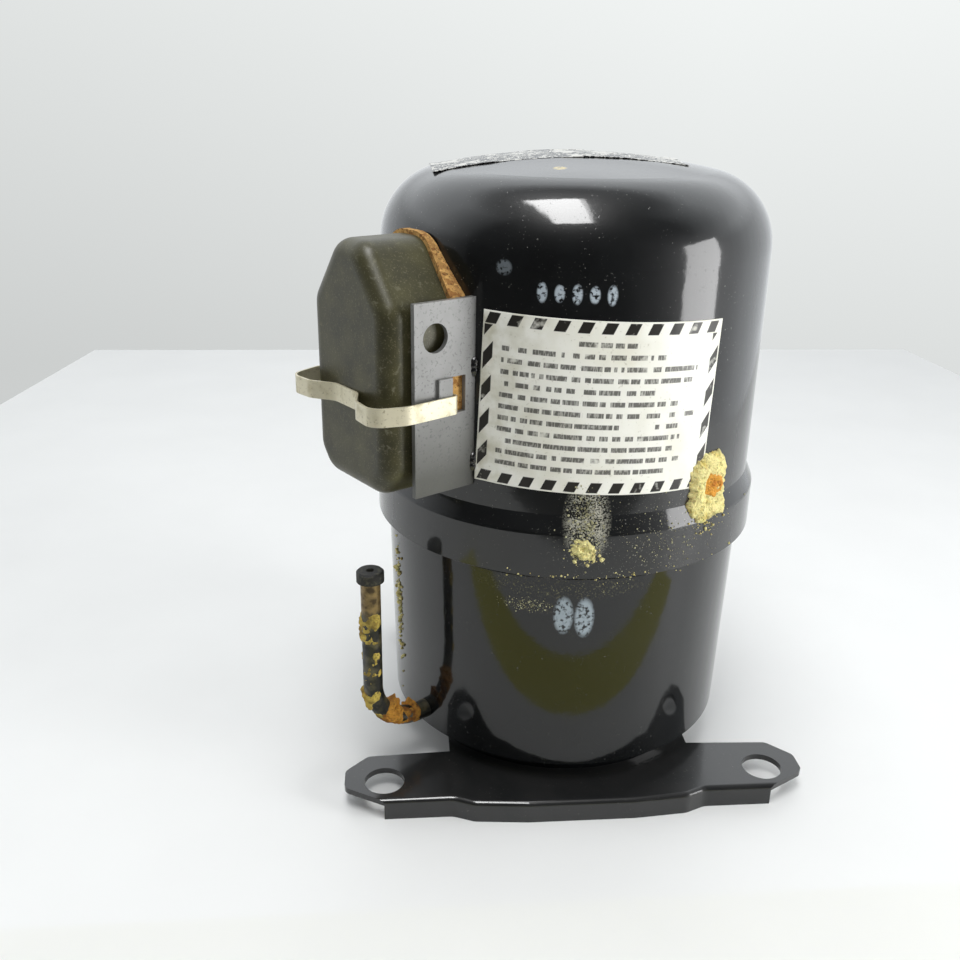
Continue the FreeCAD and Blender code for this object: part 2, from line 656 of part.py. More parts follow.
def make_protector():
    """A round overload protector on a spring clip, and the earth screw above the terminal."""
    start = "cover_back + 1"
    outline = [
        (start, "0"), (f"{start} + 12", "0"), (f"{start} + 12", "protector_radius * 0.55"),
        (f"{start} + 9", "protector_radius"), (start, "protector_radius"),
    ]
    can = turned("protector", outline, axis="H_Axis")
    node(put(group(put(can, z="protector_height")), azimuth="terminal_azimuth"), "overload_protector")
    clip = box("shell_radius - 1", "-7", "protector_height - 7", f"{start} - (shell_radius - 1)", "14", "14")
    shell = cylinder("shell_radius", "shell_top")
    node(put(group(cut(clip, shell)), azimuth="terminal_azimuth"), "protector_clip")
    head = turned("screw", [("shell_radius - 1", "0"), ("shell_radius + 5", "0"), ("shell_radius + 5", "3.6"),
                            ("shell_radius + 1.8", "4.2"), ("shell_radius - 1", "4.2")], axis="H_Axis")
    screw = cut(put(group(head), z="terminal_height + terminal_radius + 7"), cylinder("shell_radius", "shell_top"))
    node(put(group(screw), azimuth="terminal_azimuth"), "ground_screw")


def make_bail_strap():
    """A flat spring whose ends pass through the wings' slots and whose middle bears on the cover."""
    thick, wide = size("strap_thick"), size("strap_width")
    side = size("wing_half + strap_gap + strap_thick / 2 + 1.7")
    face = size("cover_face + strap_gap + strap_thick / 2")
    hook = size("slot_outer - 1.2")
    inner = size("wing_half - wing_thick - 1.4")
    level = size("slot_bottom + strap_gap + strap_width / 2")
    half = [
        (hook, inner), (hook, side), (face - 6, side + 1), (face + 8.5, side - 4),
        (face + 7, side - 18), (face, size("cover_half") * 0.3),
    ]
    bends = [1.5, 14, 7, 7]
    points = half + [(x, -y) for x, y in reversed(half)]
    points = [(x, y, level) for x, y in points]
    path = route(points, bends + [8, 8] + list(reversed(bends)))
    corners = [Vector(hook + dx, inner, level + dz) for dx, dz in
               ((-thick / 2, -wide / 2), (thick / 2, -wide / 2), (thick / 2, wide / 2), (-thick / 2, wide / 2))]
    section = Part.makePolygon(corners + corners[:1])
    sweep = Part.BRepOffsetAPI.MakePipeShell(path)
    sweep.setBiNormalMode(Vector(0, 0, 1))
    sweep.add(section)
    sweep.build()
    sweep.makeSolid()
    node(put(feature(sweep.shape()), azimuth="terminal_azimuth"), "bail_strap")


# ---------------------------------------------------------------- label and nameplate

def make_warning_label():
    skin = cut(cylinder("shell_radius + foil_thick", "label_tall * 3", z="label_height - label_tall * 1.5"),
               cylinder("shell_radius", "label_tall * 3", z="label_height - label_tall * 1.5"))
    half = "shell_radius * sin(label_width / 2 / shell_radius * 1 rad)"
    sheet = box(f"-{half}", "-shell_radius * 1.2", "-label_tall / 2", f"2 * {half}", "shell_radius * 0.8",
                "label_tall")
    tilted = group(sheet)
    tilted.Placement = Placement(Vector(0, 0, size("label_height")), Rotation(Vector(0, 1, 0), 1.0))
    tilted.setExpression(".Placement.Base.z", bound("label_height"))
    tilted.setExpression(".Placement.Rotation.Angle", bound("label_tilt * 1 deg"))
    node(put(common(skin, tilted)), "warning_label")


def ball(radius, height):
    """A sphere on the Z axis."""
    globe = doc.addObject("Part::Sphere", "globe")
    globe.setExpression("Radius", bound(radius))
    globe.setExpression(".Placement.Base.z", bound(height))
    return globe


def make_nameplate():
    centre = "shell_top - crown_radius"
    skin = cut(ball("crown_radius + foil_thick", centre), ball("crown_radius", centre))
    sheet = box("-nameplate_left - nameplate_x / 2", "-nameplate_front", "shell_top - 30", "nameplate_x",
                "nameplate_y", "60")
    node(put(common(skin, sheet)), "nameplate")


# ---------------------------------------------------------------- tubes and plugs

def tube_plug(radius):
    """A rubber plug along X from 0, (x, radius): stem inside the tube, head beyond it, dimple in the head."""
    stem = f"{radius} - tube_wall - plug_gap"
    brim = f"{radius} + plug_brim"
    return turned("plug", [
        ("-plug_stem", "0"), ("plug_head - 1.5", "0"), ("plug_head - 1.5", "1.6"), ("plug_head", "1.9"),
        ("plug_head", f"{brim} - 0.8"), ("plug_head - 0.8", brim), ("0.1", brim), ("0.1", stem),
        ("-plug_stem", stem),
    ], axis="H_Axis")


def make_stub(name, radius, azimuth, height, end, wall_radius):
    """A straight tube with a swaged collar that is brazed in the shell's wall, and its plug."""
    start, brazed = f"{wall_radius} - shell_wall - tube_inside", f"{wall_radius} + collar_out"
    bore, collar = f"{radius} - tube_wall", f"{radius} + collar_step"
    tube = turned(name, [(start, bore), (end, bore), (end, radius), (f"{brazed} + collar_cone", radius),
                         (brazed, collar), (start, collar)], axis="H_Axis")
    node(put(tube, z=height, azimuth=azimuth), f"{name}_tube")
    plug = tube_plug(radius)
    put(plug, x=end)
    node(put(group(plug), z=height, azimuth=azimuth), f"{name}_plug")


def make_discharge():
    """The discharge tube leaves the lower shell, bends up and stands beside it."""
    inner = size("foot_radius - shell_wall - tube_inside")
    low, top, out = size("discharge_low"), size("discharge_top"), size("discharge_out")
    bend = size("discharge_bend")
    outer = size("discharge_radius")
    tube = bent_tube([(inner, 0, low), (out, 0, low), (out, 0, top)], [bend], outer, outer - size("tube_wall"))
    node(put(feature(tube), azimuth="terminal_azimuth"), "discharge_tube")
    plug = tube_plug("discharge_radius")
    upright = group(plug)
    upright.Placement = Placement(Vector(out, 0, top), Rotation(Vector(0, 1, 0), -90))
    upright.setExpression(".Placement.Base.x", bound("discharge_out"))
    upright.setExpression(".Placement.Base.z", bound("discharge_top"))
    node(put(group(upright), azimuth="terminal_azimuth"), "discharge_plug")


# ---------------------------------------------------------------- motor and suspension

def four(make):
    """Four copies, one at each stator bolt."""
    return group(*[make(f"{x} * bolt_place", f"{y} * bolt_place") for x in (-1, 1) for y in (-1, 1)])


def make_motor():
    top = "(stator_low + stator_stack)"
    square = box("-stator_square / 2", "-stator_square / 2", "stator_low", "stator_square", "stator_square",
                 "stator_stack")
    trimmed = common(square, cylinder("stator_corner", "stator_stack", z="stator_low"))
    bore = cylinder("rotor_radius + air_gap", "stator_stack", z="stator_low")
    bolts = four(lambda x, y: cylinder("bolt_radius + bolt_gap", "stator_stack", x=x, y=y, z="stator_low"))
    node(put(cut(trimmed, bore, bolts)), "stator_core")
    for name, low in (("lower_winding", "(stator_low - winding_tall)"), ("upper_winding", top)):
        coil = ring(name, "winding_inner", "winding_outer", low, f"{low} + winding_tall")
        rounded(coil, "5", lambda edge: is_hoop(edge, "winding_outer", low)
                or is_hoop(edge, "winding_outer", f"{low} + winding_tall"))
        node(put(coil), name)
    node(put(ring("rotor_core", "shaft_radius", "rotor_radius", "stator_low", top)), "rotor_core")
    rings = [ring("end", "shaft_radius + 8", "rotor_radius - 2", low, f"{low} + end_ring")
             for low in ("stator_low - end_ring", top)]
    node(put(group(*rings)), "rotor_rings")
    whole = ring("weight", "shaft_radius + 8", "rotor_radius - 3", f"{top} + end_ring", f"{top} + end_ring + 8")
    half = box("0", "-rotor_radius", f"{top} + end_ring - 1", "rotor_radius", "rotor_radius * 2", "10")
    node(put(common(whole, half)), "counterweight")
    legs_top = "web_low - washer_thick - 4"
    node(put(four(lambda x, y: fused(
        cylinder("bolt_radius", f"{legs_top} - stator_low + 6", x=x, y=y, z="stator_low - 6"),
        cylinder("bolt_radius * 2", "6", x=x, y=y, z="stator_low - 6")))), "stator_bolts")


def make_suspension():
    floor = "plate_thick + shell_wall"
    node(put(four(lambda x, y: fused(
        cylinder("spring_mean", "2", x=x, y=y, z=floor),
        cylinder("spring_mean - spring_wire - 0.8", "12", x=x, y=y, z=floor)))), "spring_seats")
    start, end = size(f"{floor} + 2 + spring_wire + 0.1"), size("spring_top - spring_wire")
    mean, wire = size("spring_mean"), size("spring_wire")
    pitch = (end - start) / size("spring_turns")
    coil = Part.makeHelix(pitch, end - start, mean)
    hoop = Part.Wire(Part.makeCircle(wire, Vector(mean, 0, 0), Vector(0, 1, 0)))
    spring = Part.Wire(coil.Edges).makePipeShell([hoop], True, True)
    place = size("bolt_place")
    coils = [spring.translated(Vector(x * place, y * place, start)) for x in (-1, 1) for y in (-1, 1)]
    node(put(feature(Part.Compound(coils))), "suspension_springs")


# ---------------------------------------------------------------- pump

def make_crankcase():
    """Cast frame: main bearing, deck, four legs on the stator, and the cylinder block."""
    deck_top = "(web_low - washer_thick)"
    hub = cylinder("hub_radius", f"{deck_top} - hub_low", z="hub_low")
    deck = cylinder("deck_radius", "deck_thick", z=f"{deck_top} - deck_thick")
    stator_top = "(stator_low + stator_stack)"
    legs = four(lambda x, y: cylinder("leg_radius", f"{deck_top} - {stator_top}", x=x, y=y, z=stator_top))
    block = box("block_near", "-block_half", f"{deck_top} - 1", "block_far - block_near", "block_half * 2",
                f"pump_height + block_over - {deck_top} + 1")
    shaft = cylinder("shaft_radius + running_gap", "shell_top")
    bore = cylinder("bore_radius", "shell_radius", x="block_near - 1", z="pump_height", along="x")
    bolts = four(lambda x, y: cylinder("bolt_radius + bolt_gap", "deck_thick + 60", x=x, y=y,
                                       z=f"{stator_top} - 1"))
    head_bolts = group(*[cylinder("head_bolt_radius", "22", x="block_far - 20", y=y, z=z, along="x")
                         for y, z in head_bolt_places()])
    lead_hole = cylinder("5", "40", x="-55", y="-28", z=f"{deck_top} - deck_thick - 10")
    frame = fused(hub, deck, legs, block)
    node(put(cut(frame, shaft, bore, bolts, head_bolts, lead_hole)), "crankcase")


def head_bolt_places():
    """The four head bolts' (y, z) as expressions."""
    return [(f"{y} * head_bolt_y", f"pump_height + {z} * head_bolt_z") for y in (-1, 1) for z in (-1, 1)]


def head_sheet(start, thick, hole=None):
    """A rectangle of the head's outline, drilled for the head bolts and, for a gasket, cut out round."""
    sheet = box(start, "-block_half", "pump_height - block_over", thick, "block_half * 2", "block_over * 2")
    tools = [cylinder("head_bolt_radius + bolt_gap", thick, x=start, y=y, z=z, along="x")
             for y, z in head_bolt_places()]
    if hole:
        tools.append(cylinder(hole, thick, x=start, z="pump_height", along="x"))
    return cut(sheet, *tools)


def reed(start, y):
    """A spring-steel tongue over a port, held at its upper end."""
    arm = box(start, f"{y} - reed_half", "pump_height - port_z", "reed_thick", "reed_half * 2", "port_z + reed_root")
    pad = cylinder("reed_pad", "reed_thick", x=start, y=y, z="pump_height - port_z", along="x")
    return fused(arm, pad)


def make_valves():
    """Gasket, suction reed, valve plate, discharge reed with its stop, gasket and head, going outwards."""
    node(put(head_sheet("block_far", "gasket_sheet", "bore_radius + 1.6")), "valve_gasket")
    plate_x = "(block_far + gasket_sheet)"
    node(put(reed(f"{plate_x} - reed_thick", "-port_y")), "suction_reed")
    ports = [cylinder("port_radius", "valve_plate_thick", x=plate_x, y=y, z="pump_height - port_z", along="x")
             for y in ("-port_y", "port_y")]
    node(put(cut(head_sheet(plate_x, "valve_plate_thick"), *ports)), "valve_plate")
    seat = f"({plate_x} + valve_plate_thick)"
    node(put(reed(seat, "port_y")), "discharge_reed")
    arm_low, foot_low = "(pump_height - port_z - reed_pad)", "(pump_height + reed_root + stop_gap)"
    stop = fused(box(f"{seat} + reed_thick + reed_lift", "port_y - reed_half", arm_low, "stop_thick", "reed_half * 2",
                     f"{foot_low} + stop_foot - {arm_low}"),
                 box(seat, "port_y - reed_half", foot_low, "reed_thick + reed_lift + stop_thick", "reed_half * 2",
                     "stop_foot"))
    node(put(stop), "reed_stop")
    node(put(head_sheet(seat, "gasket_sheet", "bore_radius + 5")), "head_gasket")
    head_x = f"({seat} + gasket_sheet)"
    dome = head_sheet(head_x, "head_thick")
    hollow = cylinder("bore_radius + 5", "head_thick - 4", x=head_x, z="pump_height", along="x")
    node(put(cut(dome, hollow)), "cylinder_head")
    bolts = [fused(cylinder("head_bolt_radius", f"{head_x} + head_thick - block_far + 19", x="block_far - 19",
                            y=y, z=z, along="x"),
                   cylinder("head_bolt_radius * 1.6", "4", x=f"{head_x} + head_thick", y=y, z=z, along="x"))
             for y, z in head_bolt_places()]
    node(put(group(*bolts)), "head_bolts")


def make_crank():
    """Crankshaft at bottom dead centre, its crankpin away from the cylinder."""
    journal = cylinder("shaft_radius", "web_low - shaft_low", z="shaft_low")
    web = cylinder("web_radius", "web_thick", x="-4", z="web_low")
    pin_top = "pump_height + sqrt(yoke_inner ^ 2 - crankpin_radius ^ 2) - 0.4"
    pin = cylinder("crankpin_radius", f"{pin_top} - web_low", x="-crank_throw", z="web_low")
    gallery = cylinder("2.5 + running_gap", "8", x="-crank_throw / 2", z="shaft_low")
    node(put(cut(fused(journal, web, pin), gallery)), "crankshaft")
    node(put(cylinder("2.5", "7.2", x="-crank_throw / 2", z="shaft_low + 0.3")), "gallery_plug")
    node(put(ring("washer", "shaft_radius + 0.3", "web_radius - 5", "web_low - washer_thick + 0.1",
                  "web_low - 0.1")), "thrust_washer")
    node(put(turned("pickup", [("4", "shaft_low - 16"), ("5.5", "shaft_low - 16"), ("shaft_radius", "shaft_low - 5"),
                               ("shaft_radius", "shaft_low"), ("shaft_radius - 2", "shaft_low"),
                               ("shaft_radius - 2", "shaft_low - 5")])), "oil_pickup")


def make_yoke():
    """Slider block on the crankpin, in a cross tube joined to the piston. Centred on the crankpin at rest."""
    slider = cylinder("yoke_inner - running_gap", "slider_half * 2", x="-crank_throw", y="-slider_half",
                      z="pump_height", along="y")
    pin_hole = cylinder("crankpin_radius + running_gap", "yoke_inner * 4", x="-crank_throw",
                        z="pump_height - yoke_inner * 2")
    node(put(cut(slider, pin_hole)), "slider_block")
    outer = cylinder("yoke_outer", "yoke_half * 2", x="-crank_throw", y="-yoke_half", z="pump_height", along="y")
    inner = cylinder("yoke_inner", "yoke_half * 4", x="-crank_throw", y="-yoke_half * 2", z="pump_height",
                     along="y")
    slot = box("-crank_throw - crankpin_radius - 0.6", "-crank_throw - crankpin_radius - 0.6",
               "pump_height - yoke_outer * 2", "crankpin_radius * 2 + 1.2", "(crank_throw + crankpin_radius + 0.6) * 2",
               "yoke_outer * 2")
    node(put(cut(outer, inner, slot)), "yoke_tube")
    crown = "(block_far - top_clearance - crank_throw * 2)"
    solid = cylinder("bore_radius - running_gap", f"{crown} + crank_throw", x="-crank_throw", z="pump_height",
                     along="x")
    seat = cylinder("yoke_outer", "yoke_half * 4", x="-crank_throw", y="-yoke_half * 2", z="pump_height", along="y")
    behind = box("-shell_radius", "-shell_radius", "pump_height - bore_radius * 2", "shell_radius - crank_throw",
                 "shell_radius * 2", "bore_radius * 4")
    rim = box("-crank_throw - 1", "-shell_radius", "pump_height - bore_radius * 2", "yoke_outer - 2",
              "shell_radius * 2", "bore_radius * 4")
    node(put(cut(solid, seat, behind, rim)), "piston")


def make_plumbing():
    """Mufflers, the internal discharge line, the motor leads and the plug that brings them to the terminal."""
    deck_top = "(web_low - washer_thick)"
    top = "(pump_height + block_over)"
    chest = box("block_near + 2", "-20", top, "block_far - block_near", "40", "20")
    neck = cylinder("5", "12", x="block_far - 2", z=f"{top} + 8", along="x")
    node(put(fused(chest, neck)), "suction_muffler")
    can = ring("can", "0", "muffler_radius", deck_top, f"{deck_top} + 38")
    rounded(can, "4", lambda edge: is_hoop(edge, "muffler_radius", f"{deck_top} + 38"))
    node(put(can, x="-muffler_place"), "discharge_muffler")
    side = size("-muffler_place - muffler_radius")
    wall_out = size("foot_radius - shell_wall - 4.2")
    angle = math.radians(size("terminal_azimuth"))
    low = size("discharge_low")
    end = (wall_out * math.cos(angle), wall_out * math.sin(angle), low)
    level = size(f"{deck_top} + 20")
    upright = size("-(lower_radius - shell_wall - line_radius - 5)")
    turn = (wall_out - 13) * math.cos(angle), (wall_out - 13) * math.sin(angle), low
    path = [(side, 0, level), (upright, 0, level), (upright, 0, low + 10), turn, end]
    node(put(feature(bent_tube(path, [4.5, 9, 6], size("line_radius")))), "shock_loop")
    plug = box("shell_radius - 24", "-13", "terminal_height - 12", "12", "26", "24")
    sockets = [cylinder("pin_radius", "30", x="shell_radius - 16", y=y, z=z, along="x") for y, z in pin_places()]
    node(put(group(cut(plug, *sockets)), azimuth="terminal_azimuth"), "cluster_plug")
    out = size("shell_radius - 18")
    foot = size("stator_low + stator_stack + winding_tall")
    leads = [(-47, -24, foot + 2.2), (-55, -28, foot + 12), (-55, -28, foot + 42),
             (out * math.cos(angle), out * math.sin(angle), foot + 60),
             (out * math.cos(angle), out * math.sin(angle), size("terminal_height") - 12)]
    node(put(feature(bent_tube(leads, [8, 8, 8], 2.5))), "motor_leads")


make_upper_shell()
make_lower_shell()
make_seam_weld()
make_base_plate()
make_terminal_bracket()
make_terminal_cover()
make_cover_gasket()
make_terminal()
make_protector()
make_bail_strap()
make_warning_label()
make_nameplate()
make_stub("suction", "suction_radius", "suction_azimuth", "suction_height", "suction_out", "shell_radius")
make_stub("process", "process_radius", "process_azimuth", "process_height", "process_out", "foot_radius")
make_discharge()
make_motor()
make_suspension()
make_crankcase()
make_valves()
make_crank()
make_yoke()
make_plumbing()
doc.recompute()

faults = [thing.Label for thing in doc.Objects if {"Invalid", "Error"} & set(thing.State)]
assert not faults, f"failed objects: {faults}"
os.makedirs("parts", exist_ok=True)
for name, thing in nodes.items():
    shape = thing.Shape
    assert not shape.isNull() and shape.isValid() and shape.Solids, f"{name}: bad shape"
    shape.exportStep(f"parts/{name}.step")
    print(f"{name:20s} {len(shape.Solids)} solids {shape.Volume / 1000:9.2f} cm3")
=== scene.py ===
# %% [markdown]
# # Finishing a hermetic compressor
# A refrigeration compressor is a welded steel can, stove-enamelled black, on an eared base plate.
# The engineering model already gives every part its shape and its place, so it is loaded first and
# never changed. What is added here is what a drawing leaves out: paint, paper, rust, foam and weld.

# %% Loading the engineering model
import math
import bpy
import numpy as np
from mathutils import Matrix, Vector


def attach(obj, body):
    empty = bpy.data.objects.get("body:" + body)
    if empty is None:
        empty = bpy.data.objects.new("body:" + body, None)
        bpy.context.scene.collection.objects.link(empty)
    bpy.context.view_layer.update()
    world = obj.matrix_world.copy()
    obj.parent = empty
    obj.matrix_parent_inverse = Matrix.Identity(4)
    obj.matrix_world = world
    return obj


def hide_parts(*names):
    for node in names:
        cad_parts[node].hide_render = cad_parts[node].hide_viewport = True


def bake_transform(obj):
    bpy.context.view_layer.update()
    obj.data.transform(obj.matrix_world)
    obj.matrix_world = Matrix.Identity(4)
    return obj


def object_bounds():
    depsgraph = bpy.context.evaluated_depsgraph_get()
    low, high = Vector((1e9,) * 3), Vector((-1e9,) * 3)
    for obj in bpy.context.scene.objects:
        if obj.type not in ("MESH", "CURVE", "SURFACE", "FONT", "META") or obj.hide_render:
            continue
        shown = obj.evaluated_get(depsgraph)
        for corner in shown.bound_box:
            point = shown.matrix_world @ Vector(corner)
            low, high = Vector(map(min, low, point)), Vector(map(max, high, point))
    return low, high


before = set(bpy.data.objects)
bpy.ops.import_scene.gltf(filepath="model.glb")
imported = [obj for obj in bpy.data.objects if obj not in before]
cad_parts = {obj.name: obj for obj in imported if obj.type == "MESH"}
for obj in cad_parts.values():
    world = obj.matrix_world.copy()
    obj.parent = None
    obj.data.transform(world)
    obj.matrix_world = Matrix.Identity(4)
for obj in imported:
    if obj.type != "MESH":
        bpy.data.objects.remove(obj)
cad_low, cad_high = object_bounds()
MM = 0.001

# %% [markdown]
# The camera stands a little left of the can and looks down on it. A camera's own axes are right, up
# and backwards, so the three directions are worked out from its heading, its dip and a slight roll,
# and put in the columns of its matrix. That is plainer than chaining three turns.

# %% Camera
heading, dip, roll = math.radians(4.883), math.radians(21.54), math.radians(0.953)
ahead = Vector((math.sin(heading) * math.cos(dip), math.cos(heading) * math.cos(dip), -math.sin(dip)))
level = Vector((math.cos(heading), -math.sin(heading), 0))
above = level.cross(ahead)
right = math.cos(roll) * level + math.sin(roll) * above
upward = math.cos(roll) * above - math.sin(roll) * level
camera = bpy.data.objects.new("camera", bpy.data.cameras.new("camera"))
camera.data.lens, camera.data.sensor_width = 37.5, 36
camera.matrix_world = Matrix.Translation(Vector((-85.2, -488.4, 322.3)) * MM) @ Matrix(
    (right, upward, -ahead)).transposed().to_4x4()
bpy.context.scene.collection.objects.link(camera)
bpy.context.scene.camera = camera
bpy.context.scene.view_settings.view_transform = "Standard"
print("camera", tuple(round(c, 3) for c in camera.location), "lens", camera.data.lens)

# %% [markdown]
# Colours are written the way a paint chart gives them, as sRGB hex. Shaders work in linear light, so
# one function does that change. One more function adds a node: values and links go on its sockets,
# choices such as a blend mode go on the node, and it gives back one output for the next node.

# %% Colour and node helpers
def linear(code):
    """sRGB hex to linear RGBA: c/12.92 under 0.04045, else ((c + 0.055)/1.055)^2.4."""
    parts = [int(code[i:i + 2], 16) / 255 for i in (1, 3, 5)]
    return tuple(c / 12.92 if c <= 0.04045 else ((c + 0.055) / 1.055) ** 2.4 for c in parts) + (1.0,)


def add(tree, kind, feeds=None, out=0, **choices):
    """Adds a node. A feed that is an output is linked; any other is set as the socket's value."""
    new = tree.nodes.new("ShaderNode" + kind)
    for name, value in choices.items():
        setattr(new, name, value)
    for name, value in (feeds or {}).items():
        if isinstance(value, bpy.types.NodeSocket):
            tree.links.new(value, new.inputs[name])
        else:
            new.inputs[name].default_value = value
    return new.outputs[out]


def paint(name, colour, roughness, metallic=0.0, **uniform):
    """A material with the values that are the same all over it set on the shader's own sockets."""
    made = bpy.data.materials.new(name)
    made.use_nodes = True
    shader = made.node_tree.nodes["Principled BSDF"]
    shader.inputs["Base Color"].default_value = linear(colour)
    shader.inputs["Roughness"].default_value = roughness
    shader.inputs["Metallic"].default_value = metallic
    for socket, value in uniform.items():
        shader.inputs[socket.replace("_", " ")].default_value = value
    return made, made.node_tree, shader


def place_of(tree):
    """Object coordinates, in metres from the frame's origin."""
    return add(tree, "TexCoord", out=3)


def fine(tree, size_mm, where, **more):
    """Noise whose lumps are about size_mm across."""
    return add(tree, "TexNoise", {"Vector": where, "Scale": 1000 / size_mm, **more})


def step(tree, value, low, high, start=0.0, end=1.0):
    """Straight ramp from start to end as the value goes from low to high, flat beyond them."""
    return add(tree, "MapRange", {"Value": value, "From Min": low, "From Max": high,
                                  "To Min": start, "To Max": end})


def blend_colour(tree, amount, first, second):
    """Goes from the first colour to the second as amount goes from 0 to 1."""
    return add(tree, "Mix", {0: amount, 6: first, 7: second}, out=2, data_type="RGBA")


def calc(tree, how, first, second=0.0):
    """One sum on one or two values."""
    return add(tree, "Math", {0: first, 1: second}, operation=how)


def rough_surface(tree, shader, height, depth_mm, sockets=("Normal",)):
    """Bumps of depth_mm, from a height of 0 to 1."""
    bump = add(tree, "Bump", {"Height": height, "Distance": depth_mm * MM})
    for socket in sockets:
        tree.links.new(bump, shader.inputs[socket])


# %% [markdown]
# The can stands on a white table, lit by a long lamp overhead and a tall window on its right, with
# the dark room behind the camera. Glossy black paint shows little but reflections, so these few
# shapes make the picture. The front of the table is left out of reflections, as the room is dark
# there, and an olive cloth lies there that only the paint sees.

# %% Table
floor_z = cad_low.z


def flat_sheet(name, corners, finish):
    """One flat four-cornered sheet on the table's level; it is stage, not part of the object."""
    mesh = bpy.data.meshes.new(name)
    mesh.from_pydata([(x, y, z) for x, y, z in corners], [], [(0, 1, 2, 3)])
    mesh.materials.append(finish)
    sheet = bpy.data.objects.new(name, mesh)
    bpy.context.scene.collection.objects.link(sheet)
    return sheet


laminate, tree, shader = paint("white_laminate", "#f1f2f1", 0.45)
marks = fine(tree, 90, place_of(tree), Detail=4.0)
tree.links.new(blend_colour(tree, marks, linear("#f4f5f4"), linear("#ecedec")), shader.inputs["Base Color"])
flat_sheet("table_back", [(-0.66, -0.40, floor_z), (0.68, -0.40, floor_z), (0.610, 0.812, floor_z),
                                       (-0.482, 0.828, floor_z)], laminate)
table_front = flat_sheet("table_front", [(-0.84, -1.5, floor_z), (0.76, -1.5, floor_z),
                                         (0.68, -0.40, floor_z),
                                         (-0.66, -0.40, floor_z)], laminate)
table_front.visible_glossy = False
cloth_colour, tree, shader = paint("olive_cloth", "#e6e27c", 0.9)
weave = fine(tree, 3, place_of(tree))
tree.links.new(blend_colour(tree, weave, linear("#efeb84"), linear("#d6d26c")), shader.inputs["Base Color"])
cloth = flat_sheet("olive_cloth", [(-0.30, -0.212, floor_z + 0.001), (0.24, -0.212, floor_z + 0.001),
                                   (0.24, -0.154, floor_z + 0.001), (-0.30, -0.154,
                                                                     floor_z + 0.001)], cloth_colour)
cloth.visible_camera = cloth.visible_diffuse = cloth.visible_shadow = False
print("table at", round(floor_z, 4))


# %% Lamps and sky
def lamp(name, place, aim, width, height, radiance, **seen):
    """A flat rectangular lamp of a known radiance: its power is radiance x pi x area."""
    light = bpy.data.lights.new(name, "AREA")
    light.shape, light.size, light.size_y = "RECTANGLE", width, height
    light.energy = radiance * math.pi * width * height
    lit = bpy.data.objects.new(name, light)
    lit.location = place
    lit.rotation_euler = (Vector(aim) - Vector(place)).to_track_quat("-Z", "Y").to_euler()
    for name_seen, value in seen.items():
        setattr(lit, name_seen, value)
    bpy.context.scene.collection.objects.link(lit)
    return lit


lamp("overhead_lamp", (-0.14, -0.36, 1.3), (-0.14, -0.36, 0), 0.40, 0.80, 8.5)
lamp("lamp_tube", (-0.14, -0.36, 1.29), (-0.14, -0.36, 0), 0.34, 0.80, 9, visible_diffuse=False)
lamp("side_window", (1.05, -0.52, 0.16), (0, -0.52, 0.16), 0.52, 0.95, 7.5)
lamp("window_spill", (1.05, -0.52, 0.16), (0, -0.52, 0.16), 0.52, 0.95, 3.6, visible_glossy=False)
lamp("back_ceiling", (0.0, 0.80, 1.2), (0.0, 0.60, 0), 1.3, 0.8, 0.9, visible_glossy=False)

sky = bpy.data.worlds.new("light_tent")
sky.use_nodes = True
bpy.context.scene.world = sky
tree = sky.node_tree
direction = add(tree, "TexCoord")
split = tree.nodes.new("ShaderNodeSeparateXYZ")
tree.links.new(direction, split.inputs[0])
side, depth, height = split.outputs
from_back = step(tree, depth, -0.35, 0.25, 0.03, 1.0)
soft_back = step(tree, depth, -0.60, 0.25, 0.36, 1.15)
low_right = calc(tree, "MULTIPLY", step(tree, side, 0.35, 0.95, 0.0, 0.55),
                 step(tree, height, 0.35, 0.6, 1.0, 0.0))
room = calc(tree, "ADD", calc(tree, "MULTIPLY", soft_back, step(tree, height, 0.30, 0.75, 1.0, 0.40)),
            low_right)
upper_wall = calc(tree, "MULTIPLY", step(tree, height, 0.25, 0.40, 1.0, 1.7),
                  step(tree, height, 0.78, 0.90, 1.0, 0.2))
mirrored = calc(tree, "ADD", calc(tree, "MULTIPLY", from_back, upper_wall),
                calc(tree, "MULTIPLY", low_right, 0.5))
wall = calc(tree, "MULTIPLY", step(tree, height, -0.24, 0.07, 0.74, 0.92),
            step(tree, side, -0.35, 0.3, 0.90, 1.06))
camera_ray = add(tree, "LightPath", out=0)
gloss_ray = add(tree, "LightPath", out=3)
behind = add(tree, "Background", {"Color": linear("#f4f7f6"), "Strength": wall})
around = add(tree, "Background", {"Color": linear("#f6f9fb"), "Strength": room})
reflected = add(tree, "Background", {"Color": linear("#f4f8fb"), "Strength": mirrored})
mixed = add(tree, "MixShader", {0: gloss_ray, 1: around, 2: reflected})
mixed = add(tree, "MixShader", {0: camera_ray, 1: mixed, 2: behind})
tree.links.new(mixed, tree.nodes["World Output"].inputs["Surface"])
print("lamps and sky set")

# %% [markdown]
# Many marks sit at a bearing and a height on the round can, so those are worked out in the shader
# from the Object coordinates: the bearing is the arctangent of y and x, in degrees. A soft-edged
# oval then says where a mark may be, and noise breaks it up.

# %% Marks on a round can
def bearing_and_height(tree):
    """Bearing in degrees from +X, and height in mm."""
    parts = tree.nodes.new("ShaderNodeSeparateXYZ")
    tree.links.new(place_of(tree), parts.inputs[0])
    bearing = calc(tree, "DEGREES", calc(tree, "ARCTAN2", parts.outputs[1], parts.outputs[0]))
    return bearing, calc(tree, "MULTIPLY", parts.outputs[2], 1000.0)


